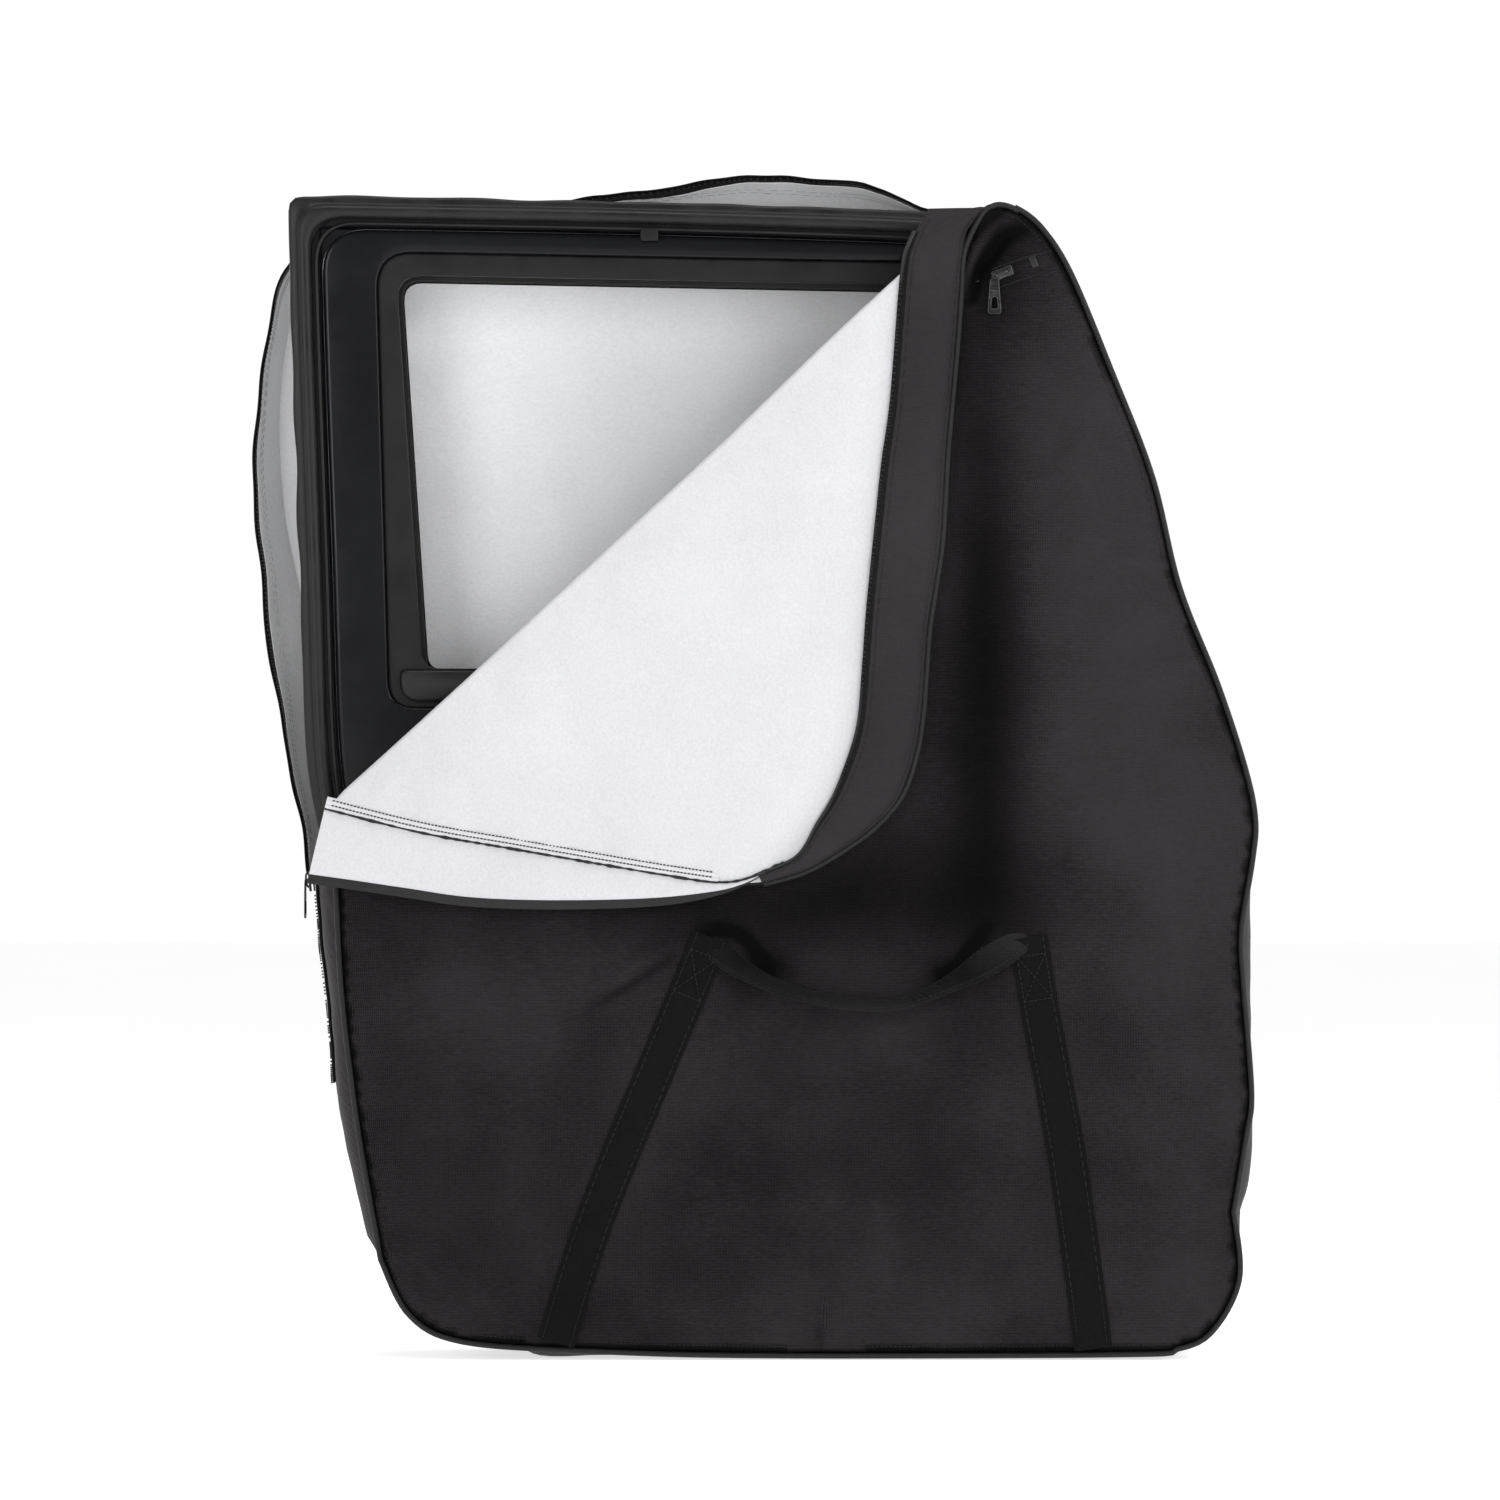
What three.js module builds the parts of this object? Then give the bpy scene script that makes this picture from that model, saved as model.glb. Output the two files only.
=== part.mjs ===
// A padded storage bag with a removable vehicle door standing in it, the bag's upper left corner
// unzipped and folded down across its front. Millimetres, +Z up. X runs along the bag's width, the
// folded corner is on the -Y side, and the origin is on the floor under the middle of the whole.
import * as THREE from 'three';
import { mergeVertices } from 'three/addons/utils/BufferGeometryUtils.js';

// ---------------------------------------------------------------- driving dimensions
const SEAM_DEPTH = 60; // from the middle plane to the front and the back seam
const SHELL = 2; // outer cloth with its padding
const LINING = 1.5; // nonwoven lining
const AIR = 0.3; // clearance between touching pieces
const GUSSET = 2.5; // thickness of the gusset wall
const KNUCKLE = 42; // where the gusset turns flat, from the middle plane
const PIPING_RADIUS = 2.3;
const WEBBING_WIDTH = 38;
const WEBBING = 1.8;
const FOLD_CLEARANCE = 1.5; // half the slot between the fixed panel and the flap
const FOLD_LIFT = 8; // the fold axis stands this far in front of the front panel
const TAPE = 1.2;
const TAPE_WIDTH = 13;
const COIL = 2.6;
const COIL_WIDTH = 3;
const TAB_LENGTH = 38;

const DOOR_FRONT = -34; // inner face of the door
const DOOR_BACK = 34; // outer face of the door
const SHEET_METAL = 1.5;
const SEAL_BULB_RADIUS = 6.5;
const BELT_Z = 640; // where the window frame meets the lower door
const GLASS = 4;
const GLASS_Y = 3;
const GLASS_BITE = 8; // how far the glass reaches into its run channel
const GLASS_TRAVEL = 405;

const FRONT_SKIN = -SEAM_DEPTH - LINING - AIR - SHELL; // foremost plane of the front panel
const FOLD_Y = FRONT_SKIN - FOLD_LIFT;

// ---------------------------------------------------------------- outlines, (x, z)
const xz = (...n) => n.flatMap((v, i) => (i % 2 ? [] : [new THREE.Vector2(v, n[i + 1])]));

const FOLD_LOW = new THREE.Vector2(-434, 560);
const FOLD_HIGH = new THREE.Vector2(216, 1149);

// The front seam, from the fold's low end round the bottom to its high end.
const FRONT_LEFT = xz(-413, 488, -407, 370, -391, 235, -368, 102);
const FRONT_BOTTOM = xz(-368, 102, -341, 49, -292, 24, -176, 15, 6, 10, 371, 11, 421, 16, 454, 32,
  480, 82, 474, 148);
const FRONT_RIGHT = xz(474, 148, 487, 225, 492, 268, 484, 374, 482, 430, 493, 500, 496, 540,
  486, 590, 459, 673, 420, 772, 393, 882, 352, 988, 312, 1084, 284, 1128, 252, 1151, 226, 1154);
// The flap's seam when it lies closed, from the fold's high end to its low end.
const FLAP_TOP = xz(216, 1149, 76, 1149, -120, 1148, -331, 1146);
const FLAP_CORNER = xz(-331, 1146, -378, 1134, -405, 1113, -426, 1090, -450, 1050);
const FLAP_SIDE = xz(-450, 1050, -472, 985, -468, 891, -459, 762, -452, 665, -434, 560);

// The middle of the gusset, and the back seam behind it.
const MID_LEFT = xz(-440, 488, -430, 378, -420, 265, -406, 192, -389, 122);
const MID_BOTTOM = xz(-389, 122, -375, 97, -355, 59, -331, 37, -302, 23, -242, 9, -150, 0, 340, 0,
  431, 12, 470, 39, 487, 82, 491, 148);
const MID_RIGHT = xz(491, 148, 502, 208, 500, 367, 498, 500, 499, 540, 490, 600, 469, 673,
  428, 772, 405, 865, 378, 938, 358, 981, 318, 1077, 295, 1117, 262, 1152, 226, 1160);
const BACK_LEFT = xz(-438, 488, -427, 378, -417, 265, -402, 192, -384, 122);
const BACK_BOTTOM = xz(-384, 122, -350, 60, -298, 26, -240, 15, -142, 9, 338, 9, 427, 18, 464, 43,
  481, 84, 486, 148);
const BACK_RIGHT = xz(486, 148, 497, 208, 495, 367, 493, 500, 494, 540, 484, 600, 463, 673,
  422, 772, 399, 865, 352, 981, 312, 1077, 288, 1117, 256, 1147, 226, 1153);
const BACK_TOP = xz(226, 1153, 180, 1148, 100, 1148, -4, 1150, -153, 1150, -268, 1148,
  -361, 1146, -410, 1136, -445, 1110);
const BACK_SIDE = xz(-445, 1110, -469, 1064, -481, 1012, -486, 949, -484, 885, -478, 834,
  -462, 757, -452, 687, -446, 604, -438, 488);

// The open edge of the back half of the gusset, (x, y, z), where its half of the zip is sewn.
const OPEN_TOP = [[218, 2, 1154], [176, 4, 1155], [151, 8, 1165], [126, 10, 1176],
  [90, 13, 1186], [-4, 15, 1187], [-74, 20, 1181], [-153, 34, 1170], [-225, 44, 1161],
  [-300, 48, 1158], [-361, 49, 1154], [-415, 50, 1146], [-452, 48, 1124]];
const OPEN_SIDE = [[-452, 48, 1124], [-477, 38, 1085], [-493, 24, 1020], [-501, 16, 949],
  [-502.8, 12, 885], [-499, 9, 808], [-490, 6, 712], [-476, 2, 640], [-466, -2, 592],
  [-457, -5, 540], [-450, -8, 494]];

// The door: its outer edge, its window's step and its opening.
const DOOR = xz(-434, 1167, -300, 1165, -104, 1161, 120, 1154, 190, 1148, 228, 1128, 262, 1075,
  318, 960, 362, 850, 390, 765, 432, 672, 458, 600, 464, 530, 455, 417, 452, 300, 456, 180,
  446, 90, 410, 48, 340, 34, 0, 30, -200, 32, -290, 48, -335, 95, -360, 190, -385, 310,
  -412, 430, -436, 520, -450, 610, -457, 800, -465, 1020, -468, 1133);
const DOOR_CORNER = new THREE.Vector2(-469, 1168);
const STEP = [[-377, 1108, 28], [-364, 652, 26], [345, 652, 26], [185, 1097, 28]];
const OPENING = [[-356, 1084, 20], [-330, 692, 14], [308, 692, 14], [160, 1074, 20]];

// ---------------------------------------------------------------- curves and outlines
const smooth = (points, steps) => new THREE.SplineCurve(points).getSpacedPoints(steps);
const smooth3 = (points, steps) =>
  new THREE.CatmullRomCurve3(points.map((p) => new THREE.Vector3(...p))).getSpacedPoints(steps);
const chain = (...runs) => runs.reduce((all, run) => all.concat(run.slice(all.length ? 1 : 0)), []);

// Unit vector across the fold, towards the fixed side of the front panel.
const foldAlong = FOLD_HIGH.clone().sub(FOLD_LOW).normalize();
const foldAcross = new THREE.Vector2(foldAlong.y, -foldAlong.x);
const pastFold = (point, by) => point.clone().addScaledVector(foldAcross, by);
// A point of the closed flap, carried over the fold onto the front of the bag.
const foldOver = (point) =>
  pastFold(point, -2 * point.clone().sub(FOLD_LOW).dot(foldAcross));

// Each corner (x, z, radius) of a ring becomes an arc-like curve of a few points.
function rounded(corners, steps = 5) {
  const at = (i) => new THREE.Vector2(...corners[(i + corners.length) % corners.length]);
  return corners.flatMap(([, , radius], i) => {
    const corner = at(i);
    const start = corner.clone().add(at(i - 1).sub(corner).setLength(radius));
    const end = corner.clone().add(at(i + 1).sub(corner).setLength(radius));
    return new THREE.QuadraticBezierCurve(start, corner, end).getPoints(steps);
  });
}

// A closed ring moved inward (or outward, with a negative distance) along its normals. Where a
// corner is tighter than a long move, the points that would cross over are left out.
const LONG_MOVE = 6;
function inset(ring, distance) {
  const turn = Math.sign(THREE.ShapeUtils.area(ring));
  const moved = ring.map((point, i) => {
    const before = ring[(i + ring.length - 1) % ring.length];
    const after = ring[(i + 1) % ring.length];
    const along = after.clone().sub(before).normalize();
    return new THREE.Vector2(point.x - along.y * distance * turn, point.y + along.x * distance * turn);
  });
  const toSegment = (p, a, b) => {
    const span = b.clone().sub(a);
    const t = THREE.MathUtils.clamp(p.clone().sub(a).dot(span) / span.lengthSq(), 0, 1);
    return p.distanceTo(a.clone().addScaledVector(span, t));
  };
  const clear = (p) =>
    ring.every((a, i) => toSegment(p, a, ring[(i + 1) % ring.length]) > distance * 0.975);
  return distance > LONG_MOVE ? moved.filter(clear) : moved;
}

// The part of a closed ring above a level (side = 1) or below it (side = -1).
function clip(ring, level, side) {
  return ring.flatMap((point, i) => {
    const next = ring[(i + 1) % ring.length];
    const [here, there] = [(point.y - level) * side, (next.y - level) * side];
    const kept = here >= 0 ? [point] : [];
    return here * there < 0 ? [...kept, point.clone().lerp(next, here / (here - there))] : kept;
  });
}

// ---------------------------------------------------------------- solids
function closed(positions, index) {
  const geometry = new THREE.BufferGeometry();
  geometry.setAttribute('position', new THREE.Float32BufferAttribute(positions, 3));
  geometry.setIndex(index);
  return geometry;
}

// A flat plate in the XZ plane between two Y planes, with optional holes.
function plate(ring, yFront, yBack, ...holes) {
  const turned = (run, clockwise) =>
    THREE.ShapeUtils.isClockWise(run) === clockwise ? run : [...run].reverse();
  const shape = new THREE.Shape(turned(ring, false));
  shape.holes = holes.map((hole) => new THREE.Path(turned(hole, true)));
  const geometry = new THREE.ExtrudeGeometry(shape, { depth: yBack - yFront, bevelEnabled: false });
  geometry.deleteAttribute('normal');
  geometry.deleteAttribute('uv');
  return mergeVertices(geometry.rotateX(Math.PI / 2).translate(0, yBack, 0), 1e-4);
}

// A closed solid between two grids of points with the same rows and columns. A looped solid joins
// its last row to its first.
function slab(top, bottom, looped = false) {
  const [rows, cols] = [top.length, top[0].length];
  const positions = [...top, ...bottom].flatMap((row) => row.flatMap((p) => [p.x, p.y, p.z]));
  const at = (layer, i, j) => (layer * rows + (i % rows)) * cols + j;
  const index = [];
  const quad = (a, b, c, d) => index.push(a, b, c, a, c, d);
  const spans = looped ? rows : rows - 1;
  for (let i = 0; i < spans; i++) {
    for (let j = 0; j + 1 < cols; j++) {
      quad(at(0, i, j), at(0, i, j + 1), at(0, i + 1, j + 1), at(0, i + 1, j));
      quad(at(1, i, j), at(1, i + 1, j), at(1, i + 1, j + 1), at(1, i, j + 1));
    }
    quad(at(0, i, 0), at(0, i + 1, 0), at(1, i + 1, 0), at(1, i, 0));
    quad(at(0, i, cols - 1), at(1, i, cols - 1), at(1, i + 1, cols - 1), at(0, i + 1, cols - 1));
  }
  for (let j = 0; !looped && j + 1 < cols; j++) {
    quad(at(0, 0, j), at(1, 0, j), at(1, 0, j + 1), at(0, 0, j + 1));
    const last = rows - 1;
    quad(at(0, last, j), at(0, last, j + 1), at(1, last, j + 1), at(1, last, j));
  }
  const volume = (k) => {
    const p = [0, 1, 2].map((n) => new THREE.Vector3().fromArray(positions, 3 * index[k + n]));
    return p[0].dot(p[1].cross(p[2]));
  };
  let total = 0;
  for (let k = 0; k < index.length; k += 3) total += volume(k);
  return closed(positions, total > 0 ? index : index.reverse());
}

// Unit vectors square to a run of points in the XZ plane, to the left of its direction.
function leftOf(run) {
  return run.map((_, i) => {
    const along = run[Math.min(i + 1, run.length - 1)].clone().sub(run[Math.max(i - 1, 0)]);
    return new THREE.Vector3(-along.z, 0, along.x).normalize();
  });
}

// A gusset wall from the front seam over two knuckles to the back seam. The bag's inside is to the
// left of the runs.
function gussetWall(front, mid, back, steps) {
  const rows = [[front, -SEAM_DEPTH + AIR], [mid, -KNUCKLE], [mid, KNUCKLE], [back, SEAM_DEPTH - AIR]]
    .map(([run, y]) => shorten(smooth(run, steps), 1.5).map(
      (p) => new THREE.Vector3(p.x, y, Math.max(p.y, 0))));
  const inward = leftOf(rows[1]);
  const outer = inward.map((_, i) => rows.map((row) => row[i]));
  const inner = outer.map((section, i) =>
    section.map((p) => p.clone().addScaledVector(inward[i], GUSSET)));
  return slab(outer, inner);
}

// A round tube along a run of points, by extruding a many-sided section.
function tube(points, radius, sides = 8, looped = false) {
  const section = new THREE.Shape();
  section.absarc(0, 0, radius, 0, 2 * Math.PI);
  const curve = new THREE.CatmullRomCurve3(points, looped);
  const outline = new THREE.Shape(section.getSpacedPoints(sides).slice(0, -1));
  const geometry = new THREE.ExtrudeGeometry(outline,
    { steps: points.length, bevelEnabled: false, extrudePath: curve });
  geometry.deleteAttribute('normal');
  geometry.deleteAttribute('uv');
  return mergeVertices(geometry, 1e-3);
}

const onPlane = (run, y) => run.map((p) => new THREE.Vector3(p.x, y, p.y));
const box = (x, y, z, at) => new THREE.BoxGeometry(x, y, z).translate(...at);

// ---------------------------------------------------------------- more solids
// Pulls both ends of a run in by a small clearance.
function shorten(run, by) {
  const pull = (p, next) => p.clone().lerp(next, by / p.distanceTo(next));
  const last = run.length - 1;
  return [pull(run[0], run[1]), ...run.slice(1, last), pull(run[last], run[last - 1])];
}

// Moves an edge towards another by a distance, which gives a tape or a coil its second edge.
const towards = (edge, other, by) =>
  edge.map((p, i) => p.clone().add(other[i].clone().sub(p).setLength(by)));

// Webbing or tape between two edges of equal length. It lies from lift to lift + thickness off the
// surface that the edges span, on the side given by the run's direction crossed with edge A to B.
function ribbon(edgeA, edgeB, lift, thickness) {
  const normals = edgeA.map((_, i) => {
    const [i0, i1] = [Math.max(i - 1, 0), Math.min(i + 1, edgeA.length - 1)];
    const along = edgeA[i1].clone().add(edgeB[i1]).sub(edgeA[i0]).sub(edgeB[i0]);
    return along.cross(edgeB[i].clone().sub(edgeA[i])).normalize();
  });
  const layer = (by) =>
    normals.map((n, i) => [edgeA[i], edgeB[i]].map((p) => p.clone().addScaledVector(n, by)));
  return slab(layer(lift), layer(lift + thickness));
}

// A flat band of even width along a centreline on a Y plane.
function webbing(centre, steps, yFront, yBack, width = WEBBING_WIDTH) {
  const run = onPlane(smooth(centre, steps), 0);
  const side = leftOf(run);
  const edge = (by) => run.map((p, i) => p.clone().addScaledVector(side[i], by))
    .map((p) => new THREE.Vector2(p.x, p.z));
  return plate([...edge(width / 2), ...edge(-width / 2).reverse()], yFront, yBack);
}

// ---------------------------------------------------------------- materials
const material = (color, roughness, metalness = 0) =>
  new THREE.MeshStandardMaterial({ color, roughness, metalness });
const CLOTH = material(0x1f1d1e, 0.9);
const WHITE_CLOTH = material(0xe6e7e9, 0.95);
const WEB = material(0x151416, 0.85);
const CORD = material(0x0e0d0f, 0.6);
const ZIP_TAPE = material(0x121113, 0.85);
const ZIP_COIL = material(0x18171a, 0.4);
const PULL_METAL = material(0x141318, 0.25, 0.6);
const PAINT = material(0x16171b, 0.2, 0.1);
const RUBBER = material(0x2a2929, 0.7);
const PLASTIC = material(0x202022, 0.55);
const STEEL = material(0x8a8c90, 0.4, 0.9);
const WINDOW = material(0x5c6a66, 0.05);

const bag = new THREE.Group();
function add(name, look, geometry) {
  const mesh = new THREE.Mesh(geometry, look);
  mesh.name = name;
  bag.add(mesh);
  return mesh;
}

// ---------------------------------------------------------------- bag: panels
const frontSeam = [pastFold(FOLD_LOW, FOLD_CLEARANCE), ...chain(smooth(FRONT_LEFT, 6),
  smooth(FRONT_BOTTOM, 30), smooth(FRONT_RIGHT, 30)), pastFold(FOLD_HIGH, FOLD_CLEARANCE)];
const backSeam = chain(smooth(BACK_LEFT, 8), smooth(BACK_BOTTOM, 24), smooth(BACK_RIGHT, 26),
  smooth(BACK_TOP, 12), smooth(BACK_SIDE, 12)).slice(0, -1);

add('front_panel_shell', CLOTH, plate(frontSeam, FRONT_SKIN, FRONT_SKIN + SHELL));
add('front_panel_lining', WHITE_CLOTH,
  plate(inset(frontSeam, 2.5), -SEAM_DEPTH - LINING, -SEAM_DEPTH));
add('back_panel_shell', CLOTH, plate(backSeam, -FRONT_SKIN - SHELL, -FRONT_SKIN));
add('back_panel_lining', WHITE_CLOTH,
  plate(inset(backSeam, 2.5), SEAM_DEPTH, SEAM_DEPTH + LINING));

// ---------------------------------------------------------------- bag: gussets
add('left_gusset', CLOTH, gussetWall(FRONT_LEFT, MID_LEFT, BACK_LEFT, 8));
add('bottom_gusset', CLOTH, gussetWall(FRONT_BOTTOM, MID_BOTTOM, BACK_BOTTOM, 28));
add('right_gusset', CLOTH, gussetWall(FRONT_RIGHT, MID_RIGHT, BACK_RIGHT, 26));

const openTop = shorten(smooth3(OPEN_TOP, 20), 0.4);
const openSide = shorten(smooth3(OPEN_SIDE, 18), 0.4);
const seamTop = shorten(onPlane(smooth(BACK_TOP, 20), SEAM_DEPTH - AIR), 0.4);
const seamSide = shorten(onPlane(smooth(BACK_SIDE, 18), SEAM_DEPTH - AIR), 0.4);
const TAPE_SHOWS = 5; // how far the zip's tape reaches past the cloth
add('back_gusset_top', CLOTH,
  ribbon(towards(openTop, seamTop, TAPE_SHOWS), seamTop, 0, GUSSET));
add('back_gusset_side', CLOTH,
  ribbon(towards(openSide, seamSide, TAPE_SHOWS), seamSide, 0, GUSSET));

// ---------------------------------------------------------------- bag: piping
const pipeOut = -PIPING_RADIUS - 3.2; // the piping stands just outside the panel's edge
const frontPipe = inset(frontSeam, pipeOut).slice(2, -2);
const PIPE_Y = -SEAM_DEPTH - PIPING_RADIUS - 0.1;
add('front_piping', CORD, tube(onPlane(frontPipe, PIPE_Y), PIPING_RADIUS, 6));
add('back_piping', CORD,
  tube(onPlane(inset(backSeam, pipeOut), -PIPE_Y), PIPING_RADIUS, 6, true));

// ---------------------------------------------------------------- zip: back half and closed run
const openEdge = [...openTop, ...openSide];
const openSeam = [...seamTop, ...seamSide];
add('zip_tape_back', ZIP_TAPE,
  ribbon(openEdge, towards(openEdge, openSeam, TAPE_WIDTH), -TAPE, -TAPE));
add('zip_chain_back', ZIP_COIL,
  ribbon(openEdge, towards(openEdge, openSeam, COIL_WIDTH), AIR, COIL));

// The closed run goes straight down the left gusset from the slider.
const ZIP_Y = -6;
const CLOSED_HIGH = new THREE.Vector3(MID_LEFT[0].x, ZIP_Y, MID_LEFT[0].y);
const CLOSED_LOW = new THREE.Vector3(MID_LEFT[2].x, ZIP_Y, MID_LEFT[2].y);
const closedDown = CLOSED_LOW.clone().sub(CLOSED_HIGH).normalize();
const closedOut = new THREE.Vector3(closedDown.z, 0, -closedDown.x);
// A bar along the closed run: y half width, span along the run, span away from the gusset.
function onClosedRun(halfWidth, from, to, near, far) {
  const at = (along, out, y) => CLOSED_HIGH.clone().addScaledVector(closedDown, along)
    .addScaledVector(closedOut, out).add(new THREE.Vector3(0, y, 0));
  const end = (along) => [-halfWidth, halfWidth].map((y) => [at(along, near, y), at(along, far, y)]);
  const [a, b] = [end(from), end(to)];
  return slab([a[0], b[0]], [a[1], b[1]]);
}
const CLOSED_LENGTH = CLOSED_HIGH.distanceTo(CLOSED_LOW);
const TAPE_NEAR = 0.8;
add('zip_tape_closed', ZIP_TAPE, onClosedRun(TAPE_WIDTH, 1, CLOSED_LENGTH, TAPE_NEAR, 2));
add('zip_chain_closed', ZIP_COIL, onClosedRun(COIL_WIDTH, 1, CLOSED_LENGTH - 4, 2.3, 4.4));

// ---------------------------------------------------------------- zip: right end
// It lies on the front panel, rising to the right.
const END_RISE = Math.atan2(29, 74);
const END_AT = [248, 1086]; // the slider's middle, (x, z)
// A bar along the end of the zip, from and to measured from the slider's middle.
function onZipEnd(from, to, halfWidth, near, far) {
  const geometry = new THREE.BoxGeometry(to - from, far - near, 2 * halfWidth);
  geometry.translate((from + to) / 2, FRONT_SKIN - (near + far) / 2, 0).rotateY(-END_RISE);
  return geometry.translate(END_AT[0], 0, END_AT[1]);
}
add('zip_tape_end', ZIP_TAPE, onZipEnd(-44, 44, 7, AIR, AIR + TAPE));
add('zip_chain_end', ZIP_COIL, onZipEnd(-42, 29, COIL_WIDTH, 1.8, 4));
add('zip_end_box', ZIP_COIL, onZipEnd(30, 37, 7, 1.8, 7));

// ---------------------------------------------------------------- straps and handles
const STRAP_NEAR = FRONT_SKIN - AIR;
const STRAPS = {
  left: xz(-43, 423, -92, 305, -157, 146, -194, 30),
  right: xz(274, 423, 286, 349, 313, 201, 337, 22),
};
for (const [side, centre] of Object.entries(STRAPS)) {
  add(`front_strap_${side}`, WEB, webbing(centre, 5, STRAP_NEAR - WEBBING, STRAP_NEAR));
  add(`rear_strap_${side}`, WEB, webbing(centre, 5, -STRAP_NEAR, WEBBING - STRAP_NEAR));
}

const HANDLE_FRONT_EDGE = [[-64, -68, 418], [-30, -80, 390], [20, -95, 367], [82, -102, 353],
  [140, -102, 351], [196, -95, 368], [250, -82, 392], [290, -68, 424]];
const HANDLE_BACK_EDGE = [[-24, -68, 425], [-4, -68.5, 398], [32, -69, 377], [90, -69, 362],
  [148, -69, 362], [188, -69, 381], [220, -68.5, 410], [247, -68, 434]];
const handle = () =>
  ribbon(smooth3(HANDLE_FRONT_EDGE, 16), smooth3(HANDLE_BACK_EDGE, 16), 0, WEBBING);
add('front_handle', WEB, handle());
const mirrored = handle().scale(1, -1, 1);
const turnedFaces = [...mirrored.index.array].reverse();
add('rear_handle', WEB, closed(mirrored.attributes.position.array, turnedFaces));

// ---------------------------------------------------------------- the door
const doorCorner = new THREE.QuadraticBezierCurve(DOOR.at(-1), DOOR_CORNER, DOOR[0]).getPoints(5);
const doorEdge = new THREE.SplineCurve(DOOR).getPoints(2 * DOOR.length - 2);
const door = [...doorEdge, ...doorCorner.slice(1, -1)];
const step = rounded(STEP);
const opening = rounded(OPENING);
const doorFace = inset(door, 38.5);
const aboveBelt = clip(doorFace, BELT_Z + AIR / 2, 1);
const belowBelt = clip(doorFace, BELT_Z - AIR / 2, -1);

add('window_frame', PAINT, plate(aboveBelt, DOOR_FRONT, DOOR_FRONT + SHEET_METAL, step));
add('door_inner_panel', PAINT, plate(belowBelt, DOOR_FRONT, DOOR_FRONT + SHEET_METAL));
add('window_reveal', PLASTIC, plate(inset(step, 0.5), -27, -24, opening));
add('door_outer_skin', PAINT, plate(inset(door, 20), DOOR_BACK, DOOR_BACK + SHEET_METAL, opening));
add('door_side_wall', PAINT, plate(inset(door, 33.5), -25, DOOR_BACK - AIR, inset(door, 35.5)));
add('door_flange', PAINT, plate(inset(door, 1.5), -27, -25.5, inset(door, 30)));
add('door_seal_lip', RUBBER, plate(door, -34, -27.3, inset(door, 6)));
add('door_seal_bulb', RUBBER, tube(onPlane(inset(door, 15.5), -34.5), SEAL_BULB_RADIUS, 8, true));
add('door_seal_trim', RUBBER, tube(onPlane(inset(door, 27.3), -32.5), 1.8, 6, true));
add('door_trim_clip', PLASTIC, box(18, 4, 12, [-105, -38, 1127]));


// The glass runs in a U-shaped channel up the right side, along the top and down the left side.
const corner = (i) => new THREE.Vector2(...OPENING[i]);
const TOP_ARCS = [...opening.slice(18), ...opening.slice(0, 6)];
const channelRun = onPlane([corner(2), ...TOP_ARCS, corner(1)], 0);
const channelIn = leftOf(channelRun);
const CHANNEL = { depth: 12, wall: 2, front: -6, back: 12 };
function channelSection(trim) {
  const [deep, front, back] = [CHANNEL.depth - trim, CHANNEL.front + trim, CHANNEL.back - trim];
  return channelRun.map((p, i) => [[0, front], [-deep, front], [-deep, back], [0, back]].map(
    ([side, y]) => p.clone().addScaledVector(channelIn[i], side).setY(y)));
}
add('glass_run_channel', RUBBER, slab(channelSection(0), channelSection(CHANNEL.wall)));
const belt = rounded([[-356, 692, 6], [-356, 658, 22], [322, 658, 8], [308, 692, 6]], 4);
add('belt_weatherstrip', RUBBER, plate(belt, -33, -27.4));
add('regulator_rail', STEEL, plate(xz(20, 640, 50, 640, 80, 225, 50, 225), 11, 17));
add('door_latch', STEEL, plate(xz(378, 490, 422, 490, 422, 515, 400, 515, 400, 529, 422, 529,
  422, 552, 378, 552), -20, 15));
const HINGES = { upper: [-388, 560, -429], lower: [-342, 300, -383] };
const pinProfile = xz(0, -45, 4, -45, 5, -43, 5, -24, 8, -24, 8, 24, 6, 27, 0, 27);
for (const [level, [x, z, pinX]] of Object.entries(HINGES)) {
  add(`door_hinge_leaf_${level}`, PAINT, box(64, 6, 46, [x, 39, z]));
  add(`door_hinge_pin_${level}`, STEEL, new THREE.LatheGeometry(pinProfile, 12))
    .geometry.rotateX(Math.PI / 2).translate(pinX, 45, z);
}

// The glass stands lowered inside the door and rises along its left edge.
const riseAlong = corner(0).sub(corner(1)).normalize();
const lowered = (p) => p.clone().addScaledVector(riseAlong, -GLASS_TRAVEL);
const GLASS_BELOW_BELT = 20;
const glassRing = inset([...TOP_ARCS, corner(1), corner(2)], -GLASS_BITE).map((p) =>
  new THREE.Vector2(p.x, p.y < corner(1).y + 1 ? corner(1).y - GLASS_BELOW_BELT : p.y));
add('window_glass', WINDOW, plate(glassRing.map(lowered), GLASS_Y - GLASS / 2, GLASS_Y + GLASS / 2));
const glassFoot = lowered(new THREE.Vector2(0, corner(1).y - GLASS_BELOW_BELT));
add('glass_carrier', STEEL, box(120, 12, 26, [glassFoot.x + 20, 4, glassFoot.y - 13 - AIR]));

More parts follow.
